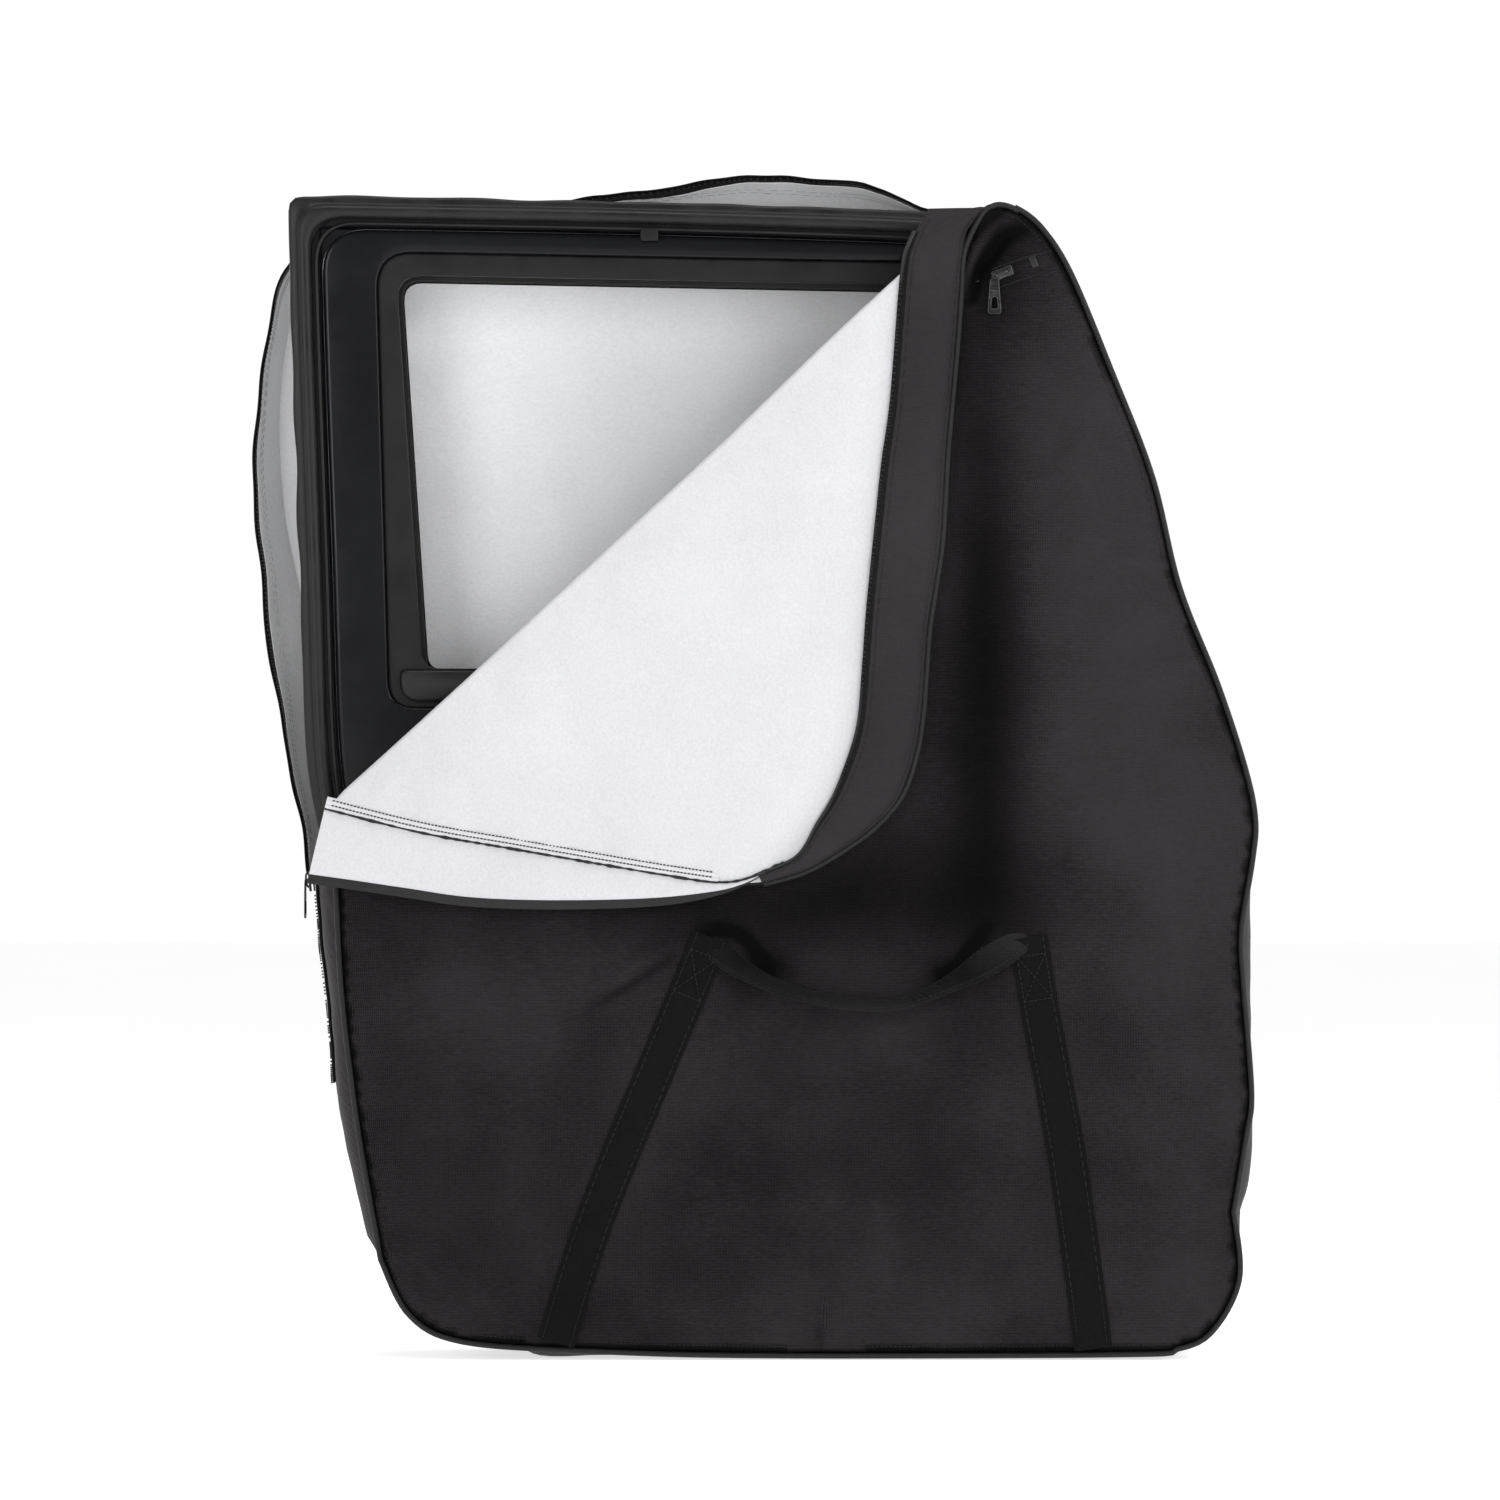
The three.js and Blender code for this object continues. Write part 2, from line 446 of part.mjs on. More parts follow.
// ---------------------------------------------------------------- flap, folded over the front
const foldedY = (y) => 2 * FOLD_Y - y;
const flapSeam = chain(smooth(FLAP_TOP, 10), smooth(FLAP_CORNER, 8), smooth(FLAP_SIDE, 10));
flapSeam[0] = pastFold(flapSeam[0], -FOLD_CLEARANCE);
flapSeam[flapSeam.length - 1] = pastFold(flapSeam.at(-1), -FOLD_CLEARANCE);
const folded = flapSeam.map(foldOver);
add('flap_shell', CLOTH, plate(folded, foldedY(FRONT_SKIN + SHELL), foldedY(FRONT_SKIN)));
add('flap_lining', WHITE_CLOTH,
  plate(inset(folded, 1), foldedY(-SEAM_DEPTH), foldedY(-SEAM_DEPTH - LINING)));
const foldedPipe = inset(folded, pipeOut);
const SIDE_FROM = 19; // the corner's arc ends here
const topPipe = onPlane(foldedPipe.slice(1, SIDE_FROM), foldedY(-62));
const sidePipe = onPlane(inset(folded, 2).slice(SIDE_FROM + 1, -1), foldedY(PIPE_Y - 4));
add('flap_piping_top', CORD, tube(topPipe, PIPING_RADIUS, 6));
add('flap_piping_side', CORD, tube(sidePipe, PIPING_RADIUS, 6));

// The top half of the gusset curls back over the lining.
const BAND_SEAM = xz(214, 1148, 204, 1110, 201, 1010, 192, 910, 186, 814, 174, 735, 168, 655,
  160, 604, 143, 559, 120, 534, 95, 515, 69, 499, 50, 489, 8, 477);
const BAND_ZIP = xz(178, 1148, 159, 1120, 149, 1085, 139, 960, 130, 895, 122, 820, 115, 751,
  109, 671, 104, 629, 91, 588, 78, 558, 63, 534, 50, 511, 37, 499, 5, 484);
const BAND_Y = foldedY(-SEAM_DEPTH) - 7;
const BAND_STEPS = 26;
const BAND_LOW_STEPS = 3; // over its first steps the band rises to its full height off the lining
const bandEdge = (points) => onPlane(smooth(points, BAND_STEPS), BAND_Y).map(
  (p, i) => p.setY(p.y + 2 * Math.max(BAND_LOW_STEPS - i, 0)));
const bandSeam = bandEdge(BAND_SEAM);
const bandZip = bandEdge(BAND_ZIP);
add('flap_band', CLOTH, ribbon(bandZip, bandSeam, 0, GUSSET));
const toothed = bandZip.slice(1); // the zip's half starts a step below the band's top
const toothedSeam = bandSeam.slice(1);
add('zip_tape_flap_top', ZIP_TAPE,
  ribbon(toothed, towards(toothed, toothedSeam, 5), GUSSET + AIR, TAPE));
const ON_TAPE = GUSSET + TAPE + 2 * AIR;
add('zip_chain_flap_top', ZIP_COIL,
  ribbon(toothed, towards(toothed, toothedSeam, COIL_WIDTH), ON_TAPE, COIL - 1));

// The side half lies flat, outside the flap's edge, with its lining showing.
const STRIP_SEAM = xz(-428, 552, -331, 528, -235, 511, -108, 489, -36, 478);
const STRIP_ZIP = xz(-444, 483, -401, 477, -347, 469, -283, 460, -203, 457, -108, 459, -46, 466);
const STRIP_Y = foldedY(-SEAM_DEPTH);
const STRIP_LEAN = 6; // the strip's free edge stands this far in front of its seam
const stripSeam = onPlane(smooth(STRIP_SEAM, 16), STRIP_Y);
const stripZip = onPlane(smooth(STRIP_ZIP, 16), STRIP_Y - STRIP_LEAN);
add('flap_strip', WHITE_CLOTH, ribbon(stripZip, stripSeam, 0, GUSSET));
add('zip_tape_flap_side', ZIP_TAPE,
  ribbon(stripZip, towards(stripZip, stripSeam, 8), GUSSET + AIR, TAPE));
add('zip_chain_flap_side', ZIP_COIL,
  ribbon(stripZip, towards(stripZip, stripSeam, COIL_WIDTH), ON_TAPE, COIL - 1));

// ---------------------------------------------------------------- sliders and pull tabs
const SLIDER = { length: 22, half: 6, near: 4.8, far: 11 };
add('zip_slider_left', PULL_METAL,
  onClosedRun(SLIDER.half, -2, SLIDER.length - 2, SLIDER.near, SLIDER.far));
add('zip_slider_right', PULL_METAL,
  onZipEnd(-SLIDER.length / 2, SLIDER.length / 2, SLIDER.half, SLIDER.near - 0.4, SLIDER.far));

// A pull tab hangs straight down from its pivot, wider at the foot.
const TAB = { top: 9, foot: 14, thick: 1.6, above: 0.4 };
const tabRing = rounded([[-TAB.top / 2, TAB.above, 2], [TAB.top / 2, TAB.above, 2],
  [TAB.foot / 2, -TAB_LENGTH, 3], [-TAB.foot / 2, -TAB_LENGTH, 3]], 3);
const tabSlot = rounded([[-2.4, -22, 2], [2.4, -22, 2], [3.6, -32, 2], [-3.6, -32, 2]], 3);
const tab = () => plate(tabRing, -TAB.thick / 2, TAB.thick / 2, tabSlot);
const TAB_RIGHT = [240, FRONT_SKIN - SLIDER.far - 1.2, 1083];
const TAB_LEFT = [CLOSED_HIGH.x - SLIDER.far - 1.6, ZIP_Y, 478];
add('pull_tab_right', PULL_METAL, tab().translate(...TAB_RIGHT));
add('pull_tab_left', PULL_METAL, tab().rotateZ(Math.PI / 2).translate(...TAB_LEFT));

export default bag;
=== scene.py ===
import math

import bmesh
import bpy
import numpy as np
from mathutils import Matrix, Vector
from mathutils.geometry import delaunay_2d_cdt


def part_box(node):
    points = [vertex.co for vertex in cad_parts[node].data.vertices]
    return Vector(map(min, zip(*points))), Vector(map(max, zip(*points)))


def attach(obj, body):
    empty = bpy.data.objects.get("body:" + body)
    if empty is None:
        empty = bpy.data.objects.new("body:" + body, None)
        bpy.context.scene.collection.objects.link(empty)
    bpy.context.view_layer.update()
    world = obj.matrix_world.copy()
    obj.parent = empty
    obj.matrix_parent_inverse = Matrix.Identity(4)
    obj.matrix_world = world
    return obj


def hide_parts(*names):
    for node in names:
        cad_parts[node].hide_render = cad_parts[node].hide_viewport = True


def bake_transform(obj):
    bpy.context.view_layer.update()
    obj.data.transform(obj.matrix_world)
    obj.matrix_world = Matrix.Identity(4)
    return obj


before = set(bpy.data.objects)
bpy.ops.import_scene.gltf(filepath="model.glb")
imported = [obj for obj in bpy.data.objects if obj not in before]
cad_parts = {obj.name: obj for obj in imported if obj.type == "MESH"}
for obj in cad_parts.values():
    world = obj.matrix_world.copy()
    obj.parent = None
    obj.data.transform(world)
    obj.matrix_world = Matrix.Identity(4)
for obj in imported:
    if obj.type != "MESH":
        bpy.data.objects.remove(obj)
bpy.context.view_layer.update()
scene = bpy.context.scene

MM = 0.001

# ---------------------------------------------------------------- planes and sizes
front_low, front_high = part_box("front_panel_shell")
BACK_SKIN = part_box("back_panel_shell")[1].y
lining_low, lining_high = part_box("front_panel_lining")
flap_shell_low, flap_shell_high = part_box("flap_shell")
flap_lining_low, flap_lining_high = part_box("flap_lining")

FRONT_SKIN = front_low.y
FRONT_SHELL_BACK = front_high.y
FRONT_LINING = (lining_low.y, lining_high.y)
FOLD_Y = (front_low.y + flap_shell_high.y) / 2
GUSSET = 2.5 * MM
PIPING = 2.7 * MM
WEBBING = 1.8 * MM
WEBBING_WIDTH = 38 * MM


def mm(*numbers):
    """Points (x, z) in metres, from millimetres."""
    return np.array(numbers, float).reshape(-1, 2) * MM


def mm3(*numbers):
    """Points (x, y, z) in metres, from millimetres."""
    return np.array(numbers, float).reshape(-1, 3) * MM


# ---------------------------------------------------------------- outlines, close to the CAD model's
FOLD_LOW, FOLD_HIGH = mm(-434, 560, 216, 1149)
FOLD_SAG = mm(219, 1146, 154, 1087, 89, 1027.5, 26, 967, -37, 906, -134, 816.5, -295, 668, -425, 550)
FRONT_LEFT = mm(-413, 488, -407, 370, -391, 235, -368, 102)
FRONT_BOTTOM = mm(-368, 102, -341, 49, -292, 24, -176, 15, 6, 10, 371, 11, 421, 16, 454, 32,
                  480, 82, 474, 148)
FRONT_RIGHT = mm(474, 148, 487, 225, 492, 268, 484, 374, 482, 430, 493, 500, 496, 540,
                 486, 590, 459, 673, 420, 772, 393, 882, 352, 988, 312, 1084, 284, 1128, 260, 1147,
                 238, 1152.5)
MID_LEFT = mm(-440, 488, -430, 378, -420, 265, -406, 192, -389, 122)
MID_BOTTOM = mm(-389, 122, -375, 97, -355, 59, -331, 37, -302, 23, -242, 9, -150, 0, 340, 0,
                431, 12, 470, 39, 487, 82, 491, 148)
MID_RIGHT = mm(491, 148, 502, 208, 500, 367, 498, 500, 499, 540, 490, 600, 469, 673,
               428, 772, 405, 865, 378, 938, 358, 981, 318, 1077, 295, 1117, 264, 1150, 236, 1154)
BACK_LEFT = mm(-438, 488, -427, 378, -417, 265, -402, 192, -384, 122)
BACK_BOTTOM = mm(-384, 122, -350, 60, -298, 26, -240, 15, -142, 9, 338, 9, 427, 18, 464, 43,
                 481, 84, 486, 148)
BACK_RIGHT = mm(486, 148, 497, 208, 495, 367, 493, 500, 494, 540, 484, 600, 463, 673,
                422, 772, 399, 865, 352, 981, 312, 1077, 288, 1117, 256, 1147, 226, 1153)
BACK_TOP = mm(226, 1153, 180, 1148, 100, 1148, -4, 1150, -153, 1150, -268, 1148,
              -361, 1146, -410, 1136, -445, 1110)
BACK_SIDE = mm(-445, 1110, -469, 1064, -481, 1012, -486, 949, -484, 885, -478, 834,
               -462, 757, -452, 687, -446, 604, -438, 488)
OPEN_TOP = mm3(218, 2, 1154, 176, 4, 1155, 151, 8, 1165, 126, 10, 1176,
               90, 13, 1186, -4, 15, 1187, -74, 20, 1181, -153, 34, 1170, -225, 44, 1161,
               -300, 48, 1158, -361, 49, 1154, -415, 50, 1146, -452, 48, 1124)
OPEN_SIDE = mm3(-452, 48, 1124, -477, 38, 1085, -493, 24, 1020, -501, 16, 949,
                -502.8, 12, 885, -499, 9, 808, -490, 6, 712, -476, 2, 640, -466, -2, 592,
                -457, -5, 540, -449, -8, 485)
DOOR = mm(-453, 1167.6, -300, 1165, -104, 1161, 120, 1154, 190, 1148, 228, 1128, 262, 1075,
          318, 960, 362, 850, 390, 765, 432, 672, 458, 600, 464, 530, 455, 417, 452, 300, 456, 180,
          446, 90, 410, 48, 340, 34, 0, 30, -200, 32, -290, 48, -335, 95, -360, 190, -385, 310,
          -412, 430, -436, 520, -450, 610, -457, 800, -465, 1020, -468.6, 1152)
DOOR_CORNER = mm(-469, 1168)[0]
STEP = [(-380, 1111, 38), (-367, 652, 26), (347, 652, 26), (186, 1100, 32)]
OPENING = [(-360, 1088, 26), (-334, 692, 16), (311, 692, 16), (163, 1078, 24)]
BAND_SEAM = mm(214, 1148, 204, 1110, 201, 1010, 192, 910, 186, 814, 174, 735, 168, 655,
               160, 604, 143, 559, 120, 534, 95, 515, 69, 499, 50, 489, 8, 477)
BAND_ZIP = mm(174, 1149.5, 158, 1120, 149, 1085, 139, 960, 130, 895, 122, 820, 115, 751, 109, 671,
              104, 629, 91, 588, 78, 558, 63, 534, 50, 511, 37, 499, 5, 484)
STRIP_SEAM = mm(-428, 552, -331, 528, -235, 511, -108, 489, -36, 478)
STRIP_ZIP = mm(-444, 483, -401, 477, -347, 469, -283, 460, -203, 457, -108, 459, -46, 466)
STRAPS = {
    "left": mm(-43, 423, -92, 305, -157, 146, -198, 18),
    "right": mm(274, 423, 286, 349, 313, 201, 339, 12),
}
HANDLE_FRONT = mm3(-64, -68, 418, -30, -80, 390, 20, -95, 367, 82, -102, 353,
                   140, -102, 351, 196, -95, 368, 250, -82, 392, 290, -68, 424)
HANDLE_BACK = mm3(-24, -68, 425, -4, -68.5, 398, 32, -69, 377, 90, -69, 362,
                  148, -69, 362, 188, -69, 381, 220, -68.5, 410, 247, -68, 434)


# ---------------------------------------------------------------- curves
def spline(points, per_span=24):
    """A smooth run of points through the given ones."""
    p = np.vstack([points[0], points, points[-1]])
    t = np.linspace(0, 1, per_span, endpoint=False)[:, None]
    runs = []
    for a, b, c, d in zip(p, p[1:], p[2:], p[3:]):
        v0, v1 = (c - a) / 2, (d - b) / 2
        runs.append((2 * b - 2 * c + v0 + v1) * t**3 + (3 * c - 3 * b - 2 * v0 - v1) * t**2 + v0 * t + b)
    return np.vstack([*runs, p[-1]])


def resample(run, count, looped=False):
    """count points at equal distances along a run."""
    if looped:
        run = np.vstack([run, run[:1]])
    along = np.concatenate([[0], np.cumsum(np.linalg.norm(np.diff(run, axis=0), axis=1))])
    at = np.linspace(0, along[-1], count + 1)[:-1] if looped else np.linspace(0, along[-1], count)
    return np.stack([np.interp(at, along, run[:, k]) for k in range(run.shape[1])], axis=1)


def length(run):
    return float(np.linalg.norm(np.diff(run, axis=0), axis=1).sum())


def smooth(points, count):
    return resample(spline(points), count)


def every(points, gap):
    """A smooth run through points, with a point about every gap."""
    run = spline(points)
    return resample(run, max(3, round(length(run) / gap) + 1))


def chain(*runs):
    return np.vstack([runs[0], *(run[1:] for run in runs[1:])])


def lift(run, y):
    """A run of (x, z) points on the plane at y, which may vary from point to point."""
    return np.stack([run[:, 0], np.broadcast_to(y, len(run)), run[:, 1]], axis=1)


def normals2(ring, looped=True):
    """Unit vectors to the left of each point of a run of (x, z) points."""
    if looped:
        along = np.roll(ring, -1, 0) - np.roll(ring, 1, 0)
    else:
        along = np.gradient(ring, axis=0)
    along /= np.linalg.norm(along, axis=1)[:, None]
    return np.stack([-along[:, 1], along[:, 0]], axis=1)


def area_of(ring):
    x, z = ring[:, 0], ring[:, 1]
    return float(np.dot(x, np.roll(z, -1)) - np.dot(z, np.roll(x, -1))) / 2


def inset(ring, distance):
    """A ring moved inward, or outward with a negative distance."""
    return ring + normals2(ring) * distance * np.sign(area_of(ring))


def to_run(points, run, looped=False):
    """The distance from each point to a run of points."""
    a = run
    b = np.roll(run, -1, 0)
    if not looped:
        a, b = a[:-1], b[:-1]
    best = np.full(len(points), np.inf)
    for p, q in zip(a, b):
        d = q - p
        t = np.clip((points - p) @ d / max(d @ d, 1e-12), 0, 1)
        best = np.minimum(best, np.linalg.norm(points - p - t[:, None] * d, axis=1))
    return best


def deep_inset(ring, distance, count):
    """A ring moved far inward, without the points that would cross over in a tight corner."""
    moved = inset(ring, distance)
    kept = moved[to_run(moved, ring, True) > distance * 0.975]
    return resample(kept, count, True)


def rounded(corners, steps=8):
    """A ring of (x, z) corners in millimetres, each with its radius."""
    ring = []
    for i, (x, z, radius) in enumerate(corners):
        corner = np.array([x, z], float)
        before = np.array(corners[i - 1][:2], float) - corner
        after = np.array(corners[(i + 1) % len(corners)][:2], float) - corner
        start = corner + before / np.linalg.norm(before) * radius
        end = corner + after / np.linalg.norm(after) * radius
        for t in np.linspace(0, 1, steps):
            ring.append((1 - t) ** 2 * start + 2 * t * (1 - t) * corner + t**2 * end)
    return np.array(ring) * MM


def ease(x):
    x = np.clip(x, 0, 1)
    return x * x * (3 - 2 * x)


def eased_corner(ring, reach):
    """A ring whose top left corner is drawn again as a round curve, as far as reach on both sides."""
    tip = int(np.argmax(ring[:, 1] - ring[:, 0]))
    middle = len(ring) // 2
    turned = np.roll(ring, middle - tip, axis=0)
    near = np.flatnonzero(np.linalg.norm(turned - turned[middle], axis=1) < reach)
    first, last = near.min(), near.max()
    a, b = turned[first - 1], turned[last + 1]
    corner = np.array([min(a[0], b[0]), max(a[1], b[1])])
    t = np.linspace(0, 1, last - first + 3)[1:-1, None]
    turned[first:last + 1] = (1 - t) ** 2 * a + 2 * t * (1 - t) * corner + t**2 * b
    return np.roll(turned, tip - middle, axis=0)


def ripples(points, wavelength, height, seed, waves=7):
    """Soft uneven waves, the same on every run."""
    draw = np.random.default_rng(seed)
    total = np.zeros(len(points))
    for _ in range(waves):
        direction = draw.normal(size=points.shape[1])
        direction /= np.linalg.norm(direction)
        long = wavelength * draw.uniform(0.7, 1.5)
        total += np.sin(points @ direction * 2 * math.pi / long + draw.uniform(0, 2 * math.pi))
    return total * height / math.sqrt(waves)


def ridge(points, path, width, height):
    """A soft crease along a path, fading at its ends. A negative height makes a dent."""
    run = smooth(np.array(path, float), 40)
    away = np.linalg.norm(points[:, None] - run[None], axis=2)
    fade = np.sin(away.argmin(1) / 39 * math.pi) ** 0.7
    return height * fade * np.exp(-((away.min(1) / width) ** 2))


def creased(points, creases):
    """The height of a list of creases, each its path, its half width and its height."""
    return sum(ridge(points, path, width, height) for path, width, height in creases)


# ---------------------------------------------------------------- meshes
def mesh_object(name, points, faces):
    mesh = bpy.data.meshes.new(name)
    mesh.from_pydata([tuple(p) for p in points], [], [tuple(int(i) for i in f) for f in faces])
    obj = bpy.data.objects.new(name, mesh)
    scene.collection.objects.link(obj)
    return obj


def weld(obj, gap=1e-6):
    """Joins doubled points and turns all faces outward."""
    work = bmesh.new()
    work.from_mesh(obj.data)
    bmesh.ops.remove_doubles(work, verts=work.verts, dist=gap)
    bmesh.ops.recalc_face_normals(work, faces=work.faces)
    work.to_mesh(obj.data)
    work.free()
    return obj


def grid_normals(grid):
    across = np.gradient(grid, axis=1)
    along = np.gradient(grid, axis=0)
    n = np.cross(along, across)
    return n / np.maximum(np.linalg.norm(n, axis=2), 1e-12)[:, :, None]


def slab(name, top, bottom, looped=False):
    """A closed solid between two grids of points. A looped one joins its last row to its first."""
    rows, cols = top.shape[:2]
    points = np.vstack([top.reshape(-1, 3), bottom.reshape(-1, 3)])

    def at(layer, i, j):
        return (layer * rows + i % rows) * cols + j

    faces = []
    for i in range(rows if looped else rows - 1):
        for j in range(cols - 1):
            faces.append((at(0, i, j), at(0, i, j + 1), at(0, i + 1, j + 1), at(0, i + 1, j)))
            faces.append((at(1, i, j), at(1, i + 1, j), at(1, i + 1, j + 1), at(1, i, j + 1)))
        faces.append((at(0, i, 0), at(0, i + 1, 0), at(1, i + 1, 0), at(1, i, 0)))
        last = cols - 1
        faces.append((at(0, i, last), at(1, i, last), at(1, i + 1, last), at(0, i + 1, last)))
    if not looped:
        for j in range(cols - 1):
            faces.append((at(0, 0, j), at(1, 0, j), at(1, 0, j + 1), at(0, 0, j + 1)))
            last = rows - 1
            faces.append((at(0, last, j), at(0, last, j + 1), at(1, last, j + 1), at(1, last, j)))
    return weld(mesh_object(name, points, faces))


def cloth_grid(name, grid, thickness):
    """Cloth from a grid of points, made thick along its normals."""
    return slab(name, grid, grid + grid_normals(grid) * thickness)


def across(edge_a, edge_b, columns, bow=0.0, power=1.0):
    """A grid between two edges of equal count, bowed along its own normals."""
    t = np.linspace(0, 1, columns)[None, :, None]
    grid = edge_a[:, None, :] * (1 - t) + edge_b[:, None, :] * t
    hump = np.sin(t * math.pi) ** power
    return grid + grid_normals(grid) * hump * bow


def tube(name, path, radius, sides=10, looped=False):
    """A round tube along a path. The radius may vary from point to point."""
    count = len(path)
    if looped:
        along = np.roll(path, -1, 0) - np.roll(path, 1, 0)
    else:
        along = np.gradient(path, axis=0)
    along /= np.linalg.norm(along, axis=1)[:, None]
    up = np.array([0.0, 1.0, 0.0]) if abs(along[0, 1]) < 0.8 else np.array([0.0, 0.0, 1.0])
    radius = np.broadcast_to(radius, count)
    rings = []
    for p, t, r in zip(path, along, radius):
        up = up - t * (up @ t)
        up /= np.linalg.norm(up)
        side = np.cross(t, up)
        angle = np.linspace(0, 2 * math.pi, sides, endpoint=False)[:, None]
        rings.append(p + r * (np.cos(angle) * up + np.sin(angle) * side))
    points = np.vstack(rings)
    faces = []
    for i in range(count if looped else count - 1):
        a, b = i * sides, (i + 1) % count * sides
        for j in range(sides):
            k = (j + 1) % sides
            faces.append((a + j, a + k, b + k, b + j))
    if not looped:
        faces.append(range(sides))
        faces.append(range((count - 1) * sides, count * sides))
    return weld(mesh_object(name, points, faces))


def within(point, ring):
    """Whether a point is inside a ring."""
    a, b = ring, np.roll(ring, -1, 0)
    spans = (a[:, 1] > point[1]) != (b[:, 1] > point[1])
    a, b = a[spans], b[spans]
    crossings = a[:, 0] + (point[1] - a[:, 1]) * (b[:, 0] - a[:, 0]) / (b[:, 1] - a[:, 1])
    return (crossings > point[0]).sum() % 2 == 1


def flat_cells(ring, cell, holes=(), fine=()):
    """Triangles that fill a ring of (x, z) points, with points about every cell, and twice as close
    within fine spots of (x, z, reach): (points, triangles, which points are on the ring)."""
    low, high = ring.min(0), ring.max(0)
    rings = [ring, *holes]
    layers = []
    for gap in (cell, cell / 2):
        xs, zs = (np.arange(low[k] + gap / 2, high[k], gap) for k in (0, 1))
        inner = np.array([(x + (gap / 2 if j % 2 else 0), z) for j, z in enumerate(zs) for x in xs])
        in_spot = np.zeros(len(inner), bool)
        for x, z, reach in fine:
            in_spot |= np.hypot(inner[:, 0] - x, inner[:, 1] - z) < reach
        inner = inner[in_spot if gap < cell else ~in_spot]
        clear = np.ones(len(inner), bool)
        for r in rings:
            clear &= to_run(inner, r, True) > gap * 0.55
        layers.append(inner[clear])
    points = np.vstack([*rings, *layers])
    loops, start = [], 0
    for r in rings:
        loops.append(list(range(start, start + len(r))))
        start += len(r)
    made = delaunay_2d_cdt([Vector(p) for p in points], [], loops, 1, 1e-7)
    out = np.array([tuple(p) for p in made[0]])
    kept = [f for f in made[2] if not any(within(out[list(f)].mean(0), hole) for hole in holes)]
    edge = to_run(out, ring, True) < 1e-6
    # Points outside the ring are in the result but in no triangle, so they are dropped.
    used = sorted({i for f in kept for i in f})
    index = {old: new for new, old in enumerate(used)}
    return out[used], [tuple(index[i] for i in f) for f in kept], edge[used]


def panel(name, points, faces, front, back):
    """A closed sheet: one layer of (x, z) points at depth front, the other at depth back."""
    count = len(points)
    uses = {}
    for f in faces:
        for a, b in zip(f, (*f[1:], f[0])):
            uses[(a, b)] = uses.get((a, b), 0) + 1
    rim = [(a, b) for a, b in uses if (b, a) not in uses]
    every_face = list(faces) + [tuple(count + i for i in reversed(f)) for f in faces]
    every_face += [(b, a, count + a, count + b) for a, b in rim]
    xyz = np.vstack([lift(points, front), lift(points, back)])
    obj = mesh_object(name, xyz, every_face)
    return weld(obj)


# ---------------------------------------------------------------- materials
class Shader:
    """A material's nodes. Positions are the object's own, in metres."""

    def __init__(self, name, **sockets):
        self.material = bpy.data.materials.new(name)
        self.material.use_nodes = True
        self.tree = self.material.node_tree
        self.bsdf = self.tree.nodes["Principled BSDF"]
        for key, value in sockets.items():
            self.bsdf.inputs[key.replace("_", " ").title().replace("Ior", "IOR")].default_value = value
        self.place = self.tree.nodes.new("ShaderNodeTexCoord").outputs["Object"]

    def node(self, kind, *links, **settings):
        made = self.tree.nodes.new("ShaderNode" + kind)
        for key, value in settings.items():
            if key in made.inputs:
                made.inputs[key].default_value = value
            else:
                setattr(made, key, value)
        for socket, source in zip(made.inputs, links):
            if isinstance(source, (int, float)):
                socket.default_value = source
            elif source is not None:
                self.tree.links.new(source, socket)
        return made

    def math(self, operation, *links):
        return self.node("Math", *links, operation=operation).outputs[0]

    def noise(self, scale, detail=3.0, stretch=(1, 1, 1)):
        where = self.node("Mapping", self.place)
        where.inputs["Scale"].default_value = stretch
        return self.node("TexNoise", where.outputs[0], Scale=scale, Detail=detail).outputs["Fac"]

    def span(self, value, low, high):
        """A noise value from 0.35 to 0.65 carried to low to high."""
        made = self.node("MapRange", value)
        for key, number in (("From Min", 0.35), ("From Max", 0.65), ("To Min", low), ("To Max", high)):
            made.inputs[key].default_value = number
        return made.outputs[0]

    def weave(self, pitch):
        """Threads over and under: high on a thread, low between."""
        parts = self.node("SeparateXYZ", self.place)
        turn = math.pi / pitch
        across = self.math("ADD", parts.outputs[0], parts.outputs[1])
        u = self.math("SINE", self.math("MULTIPLY", across, turn))
        v = self.math("SINE", self.math("MULTIPLY", parts.outputs[2], turn))
        warp = self.math("MULTIPLY", u, u)
        weft = self.math("MULTIPLY", v, v)
        over = self.math("GREATER_THAN", self.math("MULTIPLY", u, v), 0.0)
        low = self.math("MULTIPLY", weft, self.math("SUBTRACT", 1.0, over))
        return self.math("ADD", self.math("MULTIPLY", warp, over), low)

    def color(self, fac, dark, light):
        ramp = self.node("ValToRGB", fac)
        ramp.color_ramp.elements[0].color = (*dark, 1)
        ramp.color_ramp.elements[1].color = (*light, 1)
        ramp.color_ramp.elements[0].position = 0.3
        ramp.color_ramp.elements[1].position = 0.7
        self.tree.links.new(ramp.outputs[0], self.bsdf.inputs["Base Color"])

    def rough(self, fac, low, high):
        self.tree.links.new(self.span(fac, low, high), self.bsdf.inputs["Roughness"])

    def bump(self, *layers):
        """Layers of (height from 0 to 1, depth in metres)."""
        normal = None
        for height, depth in layers:
            made = self.node("Bump", Strength=1.0, Distance=depth)
            self.tree.links.new(height, made.inputs["Height"])
            if normal:
                self.tree.links.new(normal, made.inputs["Normal"])
            normal = made.outputs[0]
        self.tree.links.new(normal, self.bsdf.inputs["Normal"])
        return self.material


def grey(value, warm=0.0):
    return (value * (1 + warm), value, value * (1 + warm * 0.8))


